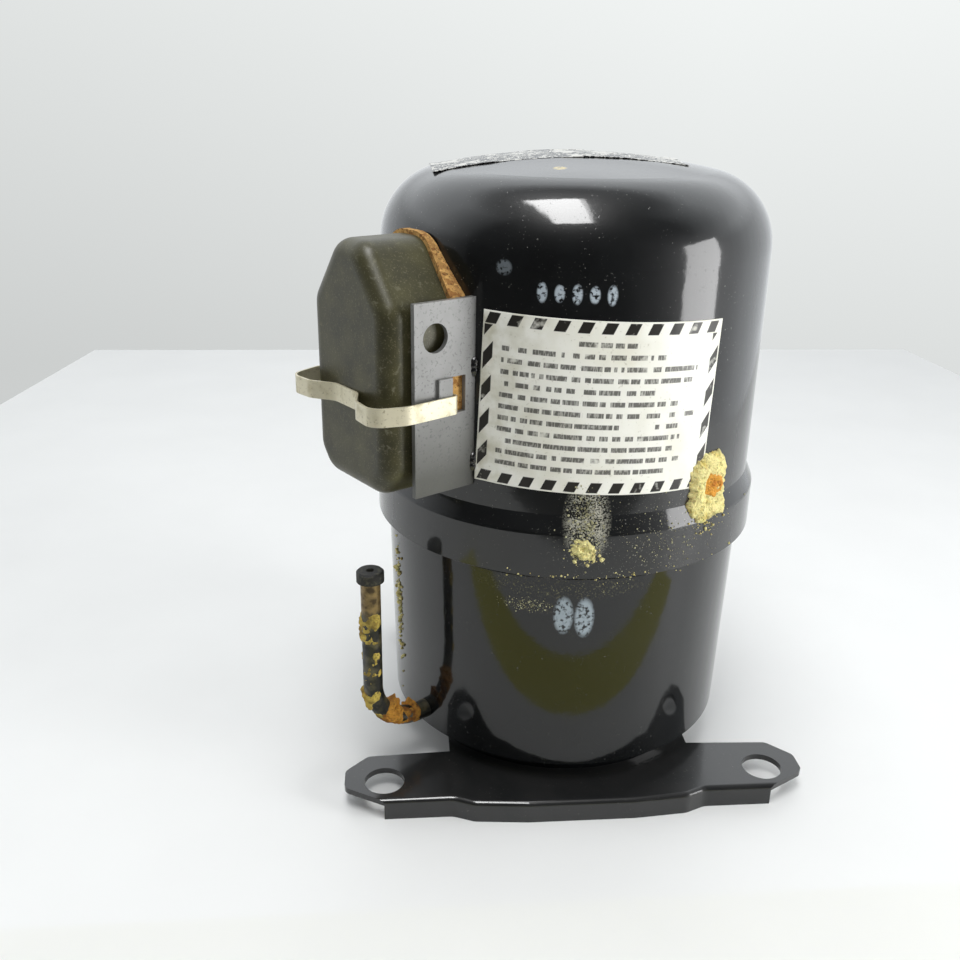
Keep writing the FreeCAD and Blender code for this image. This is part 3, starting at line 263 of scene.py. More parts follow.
def oval(tree, bearing, height, at, tall_at, half_bearing, half_tall, soft=0.35):
    """1 inside an oval centred at a bearing and height, 0 outside, with a soft rim."""
    across = calc(tree, "POWER", calc(tree, "ABSOLUTE", calc(tree, "DIVIDE", calc(
        tree, "SUBTRACT", bearing, at), half_bearing)), 2.0)
    upwards = calc(tree, "POWER", calc(tree, "ABSOLUTE", calc(tree, "DIVIDE", calc(
        tree, "SUBTRACT", height, tall_at), half_tall)), 2.0)
    return step(tree, calc(tree, "ADD", across, upwards), 1 - soft, 1 + soft, 1.0, 0.0)


def most(tree, *masks):
    """The largest of several masks."""
    whole = masks[0]
    for mask in masks[1:]:
        whole = calc(tree, "MAXIMUM", whole, mask)
    return whole


# %% [markdown]
# Stoving enamel is baked paint: hard, glossy and almost black, so it gives the eye a sharp
# reflection and hardly any colour of its own. Baked paint keeps a faint orange peel, and an old can
# gathers dust specks, fine scratches and greasy patches that blur the reflection. A thin, rough coat
# over the gloss spreads a faint haze round each bright reflection.

# %% Black stoving enamel
def enamel(name, colour="#0b0c0d", gloss=0.07, dust=0.5, marks=None, worn=0.0, haze=0.4):
    """Glossy black paint with peel, specks and grease; marks adds the can's own stains."""
    made, tree, shader = paint(name, colour, gloss, IOR=1.5, Coat_Weight=haze, Coat_Roughness=0.4)
    where = place_of(tree)
    bearing, height = bearing_and_height(tree)
    grease = step(tree, fine(tree, 38, where, Detail=5.0, Distortion=1.2), 0.40, 0.85)
    specks = step(tree, fine(tree, 0.9, where, Detail=1.0), 0.74 - 0.03 * dust, 0.77)
    specks = calc(tree, "MULTIPLY", specks, step(tree, fine(tree, 22, where, Detail=3.0), 0.42, 0.62))
    tone = blend_colour(tree, grease, linear(colour), linear("#131516"))
    tone = blend_colour(tree, calc(tree, "MULTIPLY", specks, 0.55 * dust), tone, linear("#9a9a90"))
    blur = step(tree, grease, 0.0, 1.0, gloss, gloss + 0.06)
    if worn:
        chips = step(tree, fine(tree, 2.2, where, Detail=4.0), 0.66 - worn, 0.70 - worn)
        tone = blend_colour(tree, calc(tree, "MULTIPLY", chips, 0.7), tone, linear("#57544c"))
        blur = most(tree, blur, calc(tree, "MULTIPLY", chips, 0.6))
    if marks:
        tone, blur = marks(tree, where, bearing, height, tone, blur)
    tree.links.new(tone, shader.inputs["Base Color"])
    tree.links.new(blur, shader.inputs["Roughness"])
    peel = fine(tree, 5, where, Detail=2.0)
    rough_surface(tree, shader, calc(tree, "ADD", peel, calc(tree, "MULTIPLY", specks, 2.0)), 0.03,
                  ("Normal", "Coat Normal"))
    return made


def upper_marks(tree, where, bearing, height, tone, blur):
    """Powdery patch under the label, dabs of white stamp ink above it, and a rubbed shoulder."""
    powder = fine(tree, 0.7, where, Detail=2.0)
    thick = fine(tree, 6, where, Detail=2.0)
    patch = calc(tree, "MULTIPLY", oval(tree, bearing, height, -92.6, 146, 5.4, 17, 0.6),
                 step(tree, calc(tree, "ADD", powder, calc(tree, "MULTIPLY", thick, 0.5)), 0.68, 0.86))
    drift = calc(tree, "MULTIPLY", oval(tree, bearing, height, -74, 134, 26, 20, 0.9),
                 step(tree, powder, 0.66, 0.76, 0.0, 0.8))
    tone = blend_colour(tree, most(tree, patch, drift), tone, linear("#a9a797"))
    ink = step(tree, fine(tree, 1.6, where, Detail=3.0), 0.36, 0.50)
    stamp = [(-107 + 4.4 * k, 245 - 0.15 * k, 1.25, 3.9 - 0.5 * (k % 2)) for k in range(5)]
    dabs = most(tree, *(oval(tree, bearing, height, *mark) for mark in stamp))
    dabs = most(tree, dabs, calc(tree, "MULTIPLY", oval(tree, bearing, height, -117, 254, 2.0, 3.0), 0.3))
    dabs = calc(tree, "MULTIPLY", dabs, ink)
    tone = blend_colour(tree, calc(tree, "MULTIPLY", dabs, 0.8), tone, linear("#b9c4cc"))
    from_mark = add(tree, "VectorMath", {0: where, 1: (-0.0157, -0.0482, 0.290)}, out=1, operation="DISTANCE")
    mark = calc(tree, "MULTIPLY", step(tree, from_mark, 0.0016, 0.0034, 1.0, 0.0), ink)
    tone = blend_colour(tree, mark, tone, linear("#c9b04a"))
    rubbed = calc(tree, "MULTIPLY", oval(tree, bearing, height, -108, 276, 24, 12, 0.9),
                  fine(tree, 12, where, Detail=6.0))
    blur = most(tree, blur, calc(tree, "MULTIPLY", rubbed, 0.16), calc(tree, "MULTIPLY", patch, 0.7))
    return tone, blur


def lower_marks(tree, where, bearing, height, tone, blur):
    """Two dabs of white stamp ink and a yellowish smear of dust."""
    ink = step(tree, fine(tree, 1.8, where, Detail=3.0), 0.36, 0.50)
    dabs = most(tree, oval(tree, bearing, height, -97.5, 97, 2.7, 9),
                oval(tree, bearing, height, -91.4, 96, 2.7, 9.5))
    tone = blend_colour(tree, calc(tree, "MULTIPLY", calc(tree, "MULTIPLY", dabs, ink), 0.75), tone,
                        linear("#a9b6bd"))
    powder = step(tree, fine(tree, 0.9, where, Detail=3.0), 0.56, 0.70)
    smear = calc(tree, "MULTIPLY", most(tree, oval(tree, bearing, height, -108, 101, 7, 3.4, 0.8),
                                        oval(tree, bearing, height, -98, 111, 22, 4.5, 0.9)), powder)
    tone = blend_colour(tree, calc(tree, "MULTIPLY", smear, 0.55), tone, linear("#8d8a63"))
    return tone, most(tree, blur, calc(tree, "MULTIPLY", smear, 0.5))


def cloudy_grey_and_pits(tree, where, bearing, height, tone, blur):
    """Cloudy grey on the bracket, darker towards its foot, with dark pits."""
    clouds = fine(tree, 9, where, Detail=5.0)
    grey = blend_colour(tree, clouds, linear("#62625f"), linear("#868684"))
    grey = blend_colour(tree, step(tree, height, 165, 205, 1.0, 0.0), grey, linear("#34342c"))
    pits = step(tree, fine(tree, 1.3, where, Detail=4.0), 0.58, 0.64)
    grey = blend_colour(tree, calc(tree, "MULTIPLY", pits, 0.5), grey, linear("#2b2b29"))
    return grey, most(tree, blur, step(tree, clouds, 0, 1, 0.25, 0.45))


upper_enamel = enamel("black_stoving_enamel_upper", dust=0.7, marks=upper_marks)
lower_enamel = enamel("black_stoving_enamel_lower", dust=0.5, marks=lower_marks, haze=0.1)
# Painted reflection: the plate's paint is dark grey (#222222), not black, standing in for the table front
# that reflections leave out.
plate_enamel = enamel("black_enamel_pressed_plate", "#222222", gloss=0.12, dust=0.35)
bracket_enamel = enamel("grey_enamel_bracket", "#161614", gloss=0.35, dust=0.2, marks=cloudy_grey_and_pits)
weld_enamel = enamel("black_enamel_over_weld", "#0c0c0c", gloss=0.2, dust=1.0, worn=0.02)
print("enamel finishes made")

# %% [markdown]
# The terminal cover is phenolic, a hot-pressed brown resin filled with wood flour. It comes out of a
# polished mould with a dull gloss and faint mottling, and fades lighter where hands and light reach
# it. The same resin, darker, makes the overload protector and the plug on the motor's leads.

# %% Moulded phenolic
def phenolic(name, dark, pale, gloss):
    """Filled resin: cloudy colour at about 12 mm, filler specks at 0.6 mm, and dusty scuffs."""
    made, tree, shader = paint(name, dark, gloss, IOR=1.42)
    where = place_of(tree)
    cloud = step(tree, fine(tree, 14, where, Detail=5.0), 0.35, 0.7)
    filler = step(tree, fine(tree, 0.7, where, Detail=1.0), 0.60, 0.72)
    scuff = step(tree, fine(tree, 3.5, where, Detail=6.0, Distortion=0.8), 0.62, 0.72)
    tone = blend_colour(tree, cloud, linear(dark), linear(pale))
    tone = blend_colour(tree, calc(tree, "MULTIPLY", filler, 0.25), tone, linear("#8a8468"))
    tone = blend_colour(tree, calc(tree, "MULTIPLY", scuff, 0.22), tone, linear("#a39f88"))
    tree.links.new(tone, shader.inputs["Base Color"])
    tree.links.new(step(tree, scuff, 0, 1, gloss, gloss + 0.25), shader.inputs["Roughness"])
    rough_surface(tree, shader, fine(tree, 1.6, where, Detail=3.0), 0.05)
    return made


cover_resin = phenolic("moulded_olive_phenolic", "#353320", "#49462b", 0.40)
black_resin = phenolic("moulded_black_phenolic", "#1b1a18", "#24221f", 0.35)

# %% [markdown]
# Cork sheet is ground bark pressed with glue, so it is a mosaic of grains about 1.5 mm across, from
# tan to dark brown. Voronoi cells give such a mosaic; the colour of each cell is picked at random.

# %% Cork
cork, tree, shader = paint("pressed_cork", "#9a6631", 0.92)
where = place_of(tree)
grain = add(tree, "TexVoronoi", {"Vector": where, "Scale": 1000 / 1.5}, out=1)
pick = add(tree, "SeparateColor", {0: grain})
tone = blend_colour(tree, pick, linear("#94622c"), linear("#d9ab62"))
pits = step(tree, fine(tree, 0.8, where, Detail=2.0), 0.60, 0.68)
tone = blend_colour(tree, calc(tree, "MULTIPLY", pits, 0.8), tone, linear("#553519"))
tree.links.new(tone, shader.inputs["Base Color"])
rough_surface(tree, shader, calc(tree, "SUBTRACT", pick, pits), 0.35)

# %% [markdown]
# The bail strap is spring steel with a thin cream plating, rubbed brown at its bends. The tubes are
# copper: pink-brown where bare, and brushed with the can's black paint lower down. Shipping plugs
# are moulded rubber, dull and dusty.

# %% Plating, copper and rubber
plating, tree, shader = paint("cream_plated_spring_steel", "#cbc4a6", 0.38, 0.35)
where = place_of(tree)
rubbed = step(tree, fine(tree, 5, where, Detail=5.0), 0.5, 0.68)
stain = step(tree, fine(tree, 1.1, where, Detail=3.0), 0.6, 0.7)
tone = blend_colour(tree, calc(tree, "MULTIPLY", rubbed, 0.5), linear("#d2cbb0"), linear("#a79d7a"))
tone = blend_colour(tree, calc(tree, "MULTIPLY", stain, 0.5), tone, linear("#6d5f3e"))
tree.links.new(tone, shader.inputs["Base Color"])
tree.links.new(step(tree, rubbed, 0, 1, 0.32, 0.55), shader.inputs["Roughness"])
rough_surface(tree, shader, stain, 0.03)

copper, tree, shader = paint("tarnished_copper", "#7b4a33", 0.4, 0.85)
where = place_of(tree)
tarnish = step(tree, fine(tree, 4, where, Detail=4.0), 0.42, 0.66)
tone = blend_colour(tree, tarnish, linear("#8a5237"), linear("#4a3022"))
tree.links.new(tone, shader.inputs["Base Color"])
tree.links.new(step(tree, tarnish, 0, 1, 0.32, 0.6), shader.inputs["Roughness"])
rough_surface(tree, shader, tarnish, 0.02)

painted_copper, tree, shader = paint("copper_under_black_paint", "#7b4a33", 0.4)
where = place_of(tree)
bearing, height = bearing_and_height(tree)
edge = calc(tree, "ADD", height, calc(tree, "MULTIPLY", fine(tree, 5, where, Detail=4.0), 12.0))
bare = step(tree, edge, 93, 97)
tarnish = step(tree, fine(tree, 4, where, Detail=4.0), 0.42, 0.66)
metal = blend_colour(tree, tarnish, linear("#86714a"), linear("#4c3f2b"))
film = blend_colour(tree, step(tree, fine(tree, 7, where, Detail=5.0), 0.48, 0.62), linear("#12120e"),
                    linear("#4a4530"))
tone = blend_colour(tree, bare, film, metal)
tree.links.new(tone, shader.inputs["Base Color"])
tree.links.new(calc(tree, "MULTIPLY", bare, 0.5), shader.inputs["Metallic"])
tree.links.new(step(tree, tarnish, 0, 1, 0.30, 0.6), shader.inputs["Roughness"])
rough_surface(tree, shader, fine(tree, 1.5, where, Detail=3.0), 0.06)

rubber, tree, shader = paint("moulded_rubber", "#1d1c18", 0.62)
where = place_of(tree)
dusty = step(tree, fine(tree, 2.5, where, Detail=5.0), 0.48, 0.66)
tree.links.new(blend_colour(tree, calc(tree, "MULTIPLY", dusty, 0.6), linear("#1b1a17"), linear("#54513c")),
               shader.inputs["Base Color"])
rough_surface(tree, shader, fine(tree, 0.8, where, Detail=2.0), 0.08)
print("cover, cork, strap, tube and plug finishes made")


# %% [markdown]
# Inside the can the parts are workshop metals. Castings keep a sandy skin, machined faces keep fine
# tool marks, the stator is a stack of 0.5 mm sheets seen edge on, and the windings are bundles of
# varnished copper wire. Each of these is one short function or one short block.

# %% Metals inside the can
def metal(name, colour, dark, gloss, grain_mm, depth_mm, metallic=1.0, stretch=(1, 1, 1)):
    """A metal whose skin is noise of one grain size; stretch draws the grain out into tool marks."""
    made, tree, shader = paint(name, colour, gloss, metallic)
    where = add(tree, "Mapping", {"Vector": place_of(tree), "Scale": stretch})
    skin = fine(tree, grain_mm, where, Detail=4.0)
    patches = step(tree, fine(tree, 16, where, Detail=4.0), 0.38, 0.68)
    tree.links.new(blend_colour(tree, calc(tree, "MULTIPLY", patches, 0.7), linear(colour), linear(dark)),
                   shader.inputs["Base Color"])
    tree.links.new(step(tree, skin, 0.3, 0.7, gloss - 0.07, gloss + 0.1), shader.inputs["Roughness"])
    rough_surface(tree, shader, skin, depth_mm)
    return made


cast_iron = metal("sand_cast_iron", "#56565a", "#38383a", 0.62, 1.2, 0.12)
bright_steel = metal("turned_steel", "#a9abb0", "#808288", 0.3, 0.5, 0.01, stretch=(1, 1, 6))
spring_steel = metal("blued_spring_steel", "#5d6470", "#3c414b", 0.3, 0.6, 0.01)
aluminium = metal("die_cast_aluminium", "#b3b5b8", "#8e9094", 0.42, 1.5, 0.04)
plated_pins = metal("nickel_plated_pin", "#b8b6ac", "#8f8c80", 0.25, 0.6, 0.01)
stack = metal("stacked_lamination_edges", "#6a6c70", "#47484c", 0.45, 0.5, 0.08, stretch=(0.02, 0.02, 1))

winding, tree, shader = paint("varnished_copper_wire", "#8c3f1c", 0.3, 0.35, Coat_Weight=0.4)
where = place_of(tree)
wires = add(tree, "TexWave", {"Vector": where, "Scale": 160.0, "Distortion": 9.0, "Detail": 2.0,
                              "Detail Scale": 1.0}, out=1, bands_direction="DIAGONAL")
tree.links.new(blend_colour(tree, wires, linear("#5c2411"), linear("#b0602c")), shader.inputs["Base Color"])
rough_surface(tree, shader, wires, 0.5)

glass, tree, shader = paint("seal_glass", "#1f3a2b", 0.08, IOR=1.52)
tree.links.new(blend_colour(tree, fine(tree, 2, place_of(tree), Detail=2.0), linear("#183022"),
                            linear("#2c4a38")), shader.inputs["Base Color"])

fibre, tree, shader = paint("oiled_gasket_fibre", "#5d5a4a", 0.8)
where = place_of(tree)
strands = add(tree, "TexNoise", {"Vector": add(tree, "Mapping", {"Vector": where, "Scale": (1, 0.2, 1)}),
                                 "Scale": 1200.0, "Detail": 3.0})
tree.links.new(blend_colour(tree, strands, linear("#45432f"), linear("#77735c")), shader.inputs["Base Color"])
rough_surface(tree, shader, strands, 0.05)

sleeve, tree, shader = paint("polyester_lead_sleeve", "#c9b98a", 0.6, Sheen_Weight=0.2)
where = place_of(tree)
braid = add(tree, "TexVoronoi", {"Vector": where, "Scale": 1000 / 0.9})
tree.links.new(blend_colour(tree, braid, linear("#8c7a4a"), linear("#d8caa0")), shader.inputs["Base Color"])
rough_surface(tree, shader, braid, 0.15)
print("inner finishes made")

# %% Each part gets its finish
dressed = {
    upper_enamel: ["upper_shell"], lower_enamel: ["lower_shell"], plate_enamel: ["base_plate"],
    bracket_enamel: ["terminal_bracket"], cover_resin: ["terminal_cover"], cork: ["cover_gasket"],
    plating: ["bail_strap"], painted_copper: ["discharge_tube"], copper: ["suction_tube", "process_tube"],
    rubber: ["discharge_plug", "suction_plug", "process_plug"], weld_enamel: ["seam_weld"],
    black_resin: ["overload_protector", "cluster_plug"], glass: ["terminal_glass"],
    plated_pins: ["terminal_pins", "tab_blades"],
    bright_steel: ["terminal_body", "protector_clip", "ground_screw", "crankshaft", "slider_block", "piston",
                   "yoke_tube", "gallery_plug", "head_bolts", "stator_bolts", "valve_plate", "thrust_washer",
                   "oil_pickup", "spring_seats", "shock_loop"],
    spring_steel: ["suspension_springs", "suction_reed", "discharge_reed", "reed_stop"],
    cast_iron: ["crankcase", "cylinder_head", "counterweight", "suction_muffler", "discharge_muffler"],
    stack: ["stator_core", "rotor_core"], aluminium: ["rotor_rings"],
    winding: ["upper_winding", "lower_winding"], fibre: ["valve_gasket", "head_gasket"],
    sleeve: ["motor_leads"],
}
left_plain = set(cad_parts)
for finish, names in dressed.items():
    for name in names:
        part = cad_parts[name]
        part.data.materials.clear()
        part.data.materials.append(finish)
        left_plain.discard(name)
print("parts still without a finish:", sorted(left_plain))

# %% [markdown]
# New pieces are surfaces worked out with numpy. A thin or lumpy thing is made as a closed slab: a
# grid of points for its outer side, a matching grid for its inner side, and strips round the rim. A
# long one, such as a weld, is a closed outline carried round a path.

# %% Surface helpers
def finish_piece(name, points, faces, body, finish, uv=None):
    """Puts points (mm) and faces in a mesh, gives it a finish, and lets it ride on a body."""
    mesh = bpy.data.meshes.new(name)
    mesh.from_pydata((np.asarray(points) * MM).tolist(), [], np.asarray(faces).tolist())
    mesh.polygons.foreach_set("use_smooth", np.ones(len(mesh.polygons), bool))
    if uv is not None:
        corner = np.zeros(len(mesh.loops), int)
        mesh.loops.foreach_get("vertex_index", corner)
        layer = mesh.uv_layers.new(name="surface")
        layer.data.foreach_set("uv", np.asarray(uv, float)[corner].ravel())
    mesh.materials.append(finish)
    piece = bpy.data.objects.new(name, mesh)
    bpy.context.scene.collection.objects.link(piece)
    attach(piece, body)
    print("made", name, len(mesh.polygons), "faces")
    return piece


def squares(rows, cols, wrap_rows=False, wrap_cols=False):
    """Corner numbers of the squares of a grid, row by row; a wrapped way joins its end to its start."""
    r = np.arange(rows if wrap_rows else rows - 1)[:, None]
    c = np.arange(cols if wrap_cols else cols - 1)[None, :]
    nr, nc = (r + 1) % rows, (c + 1) % cols
    return np.stack([r * cols + c, r * cols + nc, nr * cols + nc, nr * cols + c], -1).reshape(-1, 4)


def slab(name, outer, inner, body, finish, uv=None):
    """A closed skin between two grids of points; the outer grid turns anticlockwise seen from outside."""
    rows, cols = outer.shape[:2]
    front = squares(rows, cols)
    back = front[:, ::-1] + rows * cols
    rim = np.concatenate([np.arange(cols), np.arange(1, rows) * cols + cols - 1,
                          (rows - 1) * cols + np.arange(cols - 2, -1, -1), np.arange(rows - 2, 0, -1) * cols])
    nxt = np.roll(rim, -1)
    walls = np.stack([nxt, rim, rim + rows * cols, nxt + rows * cols], -1)
    points = np.concatenate([outer.reshape(-1, 3), inner.reshape(-1, 3)])
    both = None if uv is None else np.concatenate([uv.reshape(-1, 2)] * 2)
    return finish_piece(name, points, np.concatenate([front, back, walls]), body, finish, both)


def lump(points, grain, seed=0):
    """Smooth random height, -1 to 1: values on a lattice 'grain' mm apart, blended with 3t^2 - 2t^3."""
    scaled = np.asarray(points, float) / grain
    cell = np.floor(scaled).astype(np.int64)
    part = scaled - cell
    part = part * part * (3 - 2 * part)
    total = np.zeros(scaled.shape[:-1])
    for corner in np.ndindex(2, 2, 2):
        at = cell + np.array(corner)
        mixed = at[..., 0] * 73856093 ^ at[..., 1] * 19349663 ^ at[...,
                                                                   2] * 83492791 ^ (seed + 1) * 2654435761
        mixed = (mixed ^ (mixed >> 13)) * 1274126177 & 0xFFFFFFFF
        mixed = (mixed ^ (mixed >> 15)) * 2246822519 & 0xFFFFFFFF
        share = np.prod(np.where(np.array(corner) == 1, part, 1 - part), axis=-1)
        total += share * ((mixed >> 8 & 0xFFFF) / 32767.5 - 1)
    return total


def crusty(points, grain, seed=0):
    """Lumps upon lumps: three noises, each half as large and half as high as the one before."""
    return sum(lump(points, grain / 2 ** k, seed + k) / 2 ** k for k in range(3)) / 1.75


def on_can(bearing, height, radius):
    """Points in mm at a bearing (degrees), a height and a radius (mm) round the crank axis."""
    turn = np.radians(bearing)
    return np.stack(np.broadcast_arrays(radius * np.cos(turn), radius * np.sin(turn), height), -1)


def can_radius(height):
    """Outside of the can: foot 88.5, lower shell 91, bead 96.5 up to 140, then a slope to 93 at 148."""
    low = 88.5 + (np.clip(height, 10, 119) - 10) / 109 * 2.5
    return np.where(height < 119, low, np.interp(height, [119, 140, 148], [96.5, 96.5, 93.0]))


# %% [markdown]
# The warning label is a glossy paper sticker with a border of slanted hazard blocks. It is a thin
# slab bent to the can, a couple of degrees out of level, with faint cockles. Its own flat millimetre
# coordinates go in a UV map, so the border can be drawn as if on paper. The wording is only bars.

# %% Warning label
label_wide, label_tall, label_mid, label_turn = 108.0, 76.0, 196.0, math.radians(-2.4)
u, v = np.meshgrid(np.linspace(-0.5, 0.5, 217) * label_wide, np.linspace(-0.5, 0.5, 153) * label_tall)
flat = np.stack([u, v, 0 * u], -1)
cockle = 0.10 * crusty(flat, 22, 5) + 0.05 * lump(flat, 5, 9)
curl = 0.5 * np.clip((-u - 50) / 4, 0, 1) * np.clip((-v - 20) / 18, 0, 1)
around = np.degrees((u * math.cos(label_turn) - v * math.sin(label_turn)) / 93) - 90
up = label_mid + u * math.sin(label_turn) + v * math.cos(label_turn)
paper, tree, shader = paint("glossy_label_paper", "#e9e7dc", 0.33, IOR=1.45)
mapped = tree.nodes.new("ShaderNodeSeparateXYZ")
tree.links.new(add(tree, "UVMap", uv_map="surface"), mapped.inputs[0])
across, along = mapped.outputs[0], mapped.outputs[1]
where = place_of(tree)
slant = calc(tree, "ADD", across, calc(tree, "MULTIPLY", along, -0.42))
blocks = calc(tree, "FRACT", calc(tree, "DIVIDE", calc(tree, "ADD", slant, 400.0), 9.8))
top_blocks = calc(tree, "MULTIPLY", step(tree, blocks, 0.50, 0.52, 1.0, 0.0),
                  step(tree, calc(tree, "ABSOLUTE", along), 32.4, 32.7))
steep = calc(tree, "ADD", along, calc(tree, "MULTIPLY", across, -1.3))
side_blocks = calc(tree, "FRACT", calc(tree, "DIVIDE", calc(tree, "ADD", steep, 400.0), 14.6))
side_blocks = calc(tree, "MULTIPLY", step(tree, side_blocks, 0.48, 0.50, 1.0, 0.0),
                   calc(tree, "MULTIPLY", step(tree, calc(tree, "ABSOLUTE", across), 48.8, 49.1),
                        step(tree, calc(tree, "ABSOLUTE", along), 32.0, 32.3, 1.0, 0.0)))
border = most(tree, top_blocks, side_blocks)
border = calc(tree, "MULTIPLY", border, calc(tree, "MULTIPLY",
                                             step(tree, calc(tree, "ABSOLUTE", along), 37.2, 37.4, 1.0, 0.0),
                                             step(tree, calc(tree, "ABSOLUTE", across), 53.2, 53.4, 1.0,
                                                  0.0)))
row = calc(tree, "DIVIDE", calc(tree, "SUBTRACT", 30.5, along), 5.05)
line_number = calc(tree, "FLOOR", row)
in_line = calc(tree, "MULTIPLY", step(tree, calc(tree, "FRACT", row), 0.26, 0.30),
               step(tree, calc(tree, "FRACT", row), 0.68, 0.72, 1.0, 0.0))
letters = add(tree, "CombineXYZ", {0: calc(tree, "MULTIPLY", across, 0.36),
                                   1: calc(tree, "MULTIPLY", line_number, 5.37)})
words = step(tree, add(tree, "TexNoise", {"Vector": letters, "Scale": 1.0, "Detail": 0.0}), 0.40, 0.42)
ticks = add(tree, "CombineXYZ", {0: calc(tree, "MULTIPLY", across, 1.5),
                                 1: calc(tree, "MULTIPLY", line_number, 9.1),
                                 2: calc(tree, "MULTIPLY", along, 0.35)})
strokes = step(tree, add(tree, "TexNoise", {"Vector": ticks, "Scale": 1.0, "Detail": 1.0}), 0.40, 0.50, 0.65,
               1.0)
reach = step(tree, add(tree, "TexWhiteNoise", {"W": line_number}, noise_dimensions="1D"), 0, 1, 22.0, 45.0)
first_line = step(tree, line_number, 0.4, 0.6, 0.0, 1.0)
reach = calc(tree, "ADD", calc(tree, "MULTIPLY", reach, first_line),
             calc(tree, "MULTIPLY", calc(tree, "SUBTRACT", 1.0, first_line), 13.0))
inside = calc(tree, "MULTIPLY", step(tree, calc(tree, "SUBTRACT", reach, across), 0.0, 0.3),
              step(tree, calc(tree, "ADD", calc(tree, "ADD", across, 13.0),
                              calc(tree, "MULTIPLY", first_line, 32.0)), 0.0, 0.3))
inside = calc(tree, "MULTIPLY", inside, step(tree,
                                             calc(tree, "ABSOLUTE",
                                                  calc(tree, "SUBTRACT", line_number,
                                                       5.5)), 5.6, 5.7, 1.0, 0.0))
wording = calc(tree, "MULTIPLY", calc(tree, "MULTIPLY", in_line, words),
               calc(tree, "MULTIPLY", strokes, inside))
rubbed_off = step(tree, fine(tree, 7, where, Detail=6.0), 0.60, 0.70, 1.0, 0.25)
ink = calc(tree, "MULTIPLY", most(tree, border, calc(tree, "MULTIPLY", wording, 0.85)), rubbed_off)
stain = step(tree, fine(tree, 20, where, Detail=5.0), 0.45, 0.72)
# Painted shade: the label's left end, turned from the window and in the cover's shadow, is darkened to
# #bdb9a2 in noisy blotches.
painted_shade_left = step(tree, across, -50.0, -18.0, 1.0, 0.0)
sheet = blend_colour(tree, stain, linear("#e8e7dd"), linear("#dcdacb"))
sheet = blend_colour(tree, calc(tree, "MULTIPLY", painted_shade_left,
                                step(tree, fine(tree, 9, where, Detail=6.0), 0.42, 0.7)), sheet,
                     linear("#bdb9a2"))
grime = step(tree, fine(tree, 1.4, where, Detail=4.0), 0.64, 0.72)
sheet = blend_colour(tree, calc(tree, "MULTIPLY", grime, 0.35), sheet, linear("#8b866c"))
tone = blend_colour(tree, ink, sheet, linear("#26231f"))
tree.links.new(tone, shader.inputs["Base Color"])
rough_surface(tree, shader, fine(tree, 2.5, where, Detail=4.0), 0.03)
label = slab("paper_label", on_can(around, up, 93.28 + cockle + curl), on_can(around, up, 93.02 + 0 * up),
             "housing",
             paper, np.stack([u, v], -1))
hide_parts("warning_label")

# %% [markdown]
# The nameplate is a thin foil on the crown, badly worn: its print is scrubbed to black and white
# blotches and its edges have lifted. It follows the crown's sphere and rises a little at its rim.

# %% Nameplate
x, y = np.meshgrid(np.linspace(-69, 47, 175), np.linspace(-25, 27, 79))
crown = np.sqrt(330.0 ** 2 - x ** 2 - y ** 2) - 36
rim = np.maximum(np.abs(x + 11) / 58, np.abs(y - 1) / 26)
flat = np.stack([x, y, 0 * x], -1)
lift = 0.12 + np.clip(rim - 0.93, 0, 1) * (4.0 + 9.0 * lump(flat, 16, 3))
lift = np.clip(lift, 0.12, 0.7)
lift = np.clip(lift, 0.12, np.maximum(294.2 - crown, 0.13))
ragged = 0.8 * crusty(flat, 9, 11) * (rim > 0.98)
foil, tree, shader = paint("scrubbed_foil_print", "#c9c9c4", 0.4, 0.0)
where = place_of(tree)
blotch = step(tree, fine(tree, 5, where, Detail=6.0, Distortion=1.5), 0.485, 0.505)
flecks = step(tree, fine(tree, 1.4, where, Detail=4.0), 0.47, 0.50)
scrubbed = calc(tree, "MULTIPLY", blotch, flecks)
scrubbed = most(tree, scrubbed, step(tree, fine(tree, 13, where, Detail=7.0), 0.53, 0.55))
tone = blend_colour(tree, scrubbed, linear("#0d0d0d"), linear("#cfcfca"))
tree.links.new(tone, shader.inputs["Base Color"])
tree.links.new(step(tree, scrubbed, 0, 1, 0.22, 0.55), shader.inputs["Roughness"])
rough_surface(tree, shader, scrubbed, 0.05)
top = np.stack([x, y - ragged, crown + lift], -1)
bottom = np.stack([x, y - ragged, crown + np.maximum(lift - 0.35, 0.01)], -1)
plate = slab("foil_nameplate", top, bottom, "housing", foil)
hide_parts("nameplate")

# %% [markdown]
# The seam under the lip is an electric weld. Each drop of metal freezes as a small crescent, so the
# bead is ribbed every 2 to 3 mm and never quite even. It is a round outline carried round the can,
# with its size nudged by a sawtooth along the way and by noise.

# %% Seam weld
turns, outline = np.meshgrid(np.linspace(0, 360, 1800, endpoint=False), np.linspace(-95, 15, 12),
                             indexing="ij")
where_on = on_can(turns, 119 + 0 * turns, 91)
drop = (turns * math.pi / 180 * 91 / 2.6) % 1.0
fat = 2.7 + 0.35 * np.sin(np.pi * drop) + 0.5 * lump(where_on, 14, 21) + 0.3 * lump(where_on, 3, 22)
angle = np.radians(outline)
radius = 90.9 + fat * 1.05 * np.cos(angle)
tall = 119.4 + fat * np.sin(angle)
bead = on_can(turns, tall, radius)
buried = on_can(turns[:, :1], 121.0 + 0 * tall[:, :1], 90.4)
ring = np.concatenate([bead, buried], 1)
weld = finish_piece("rippled_seam_weld", ring.reshape(-1, 3), squares(1800, 13, True, True), "housing",
                    weld_enamel)
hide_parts("seam_weld")

# %% [markdown]
# Sprayed polyurethane foam once held the compressor in its cabinet. What was torn away left a bright
# yellow chunk on the bead, a crust on the tube, and crumbs. Foam is a mass of broken bubbles, so it
# is rough at every scale, yellow where fresh and orange-brown where the skin was.

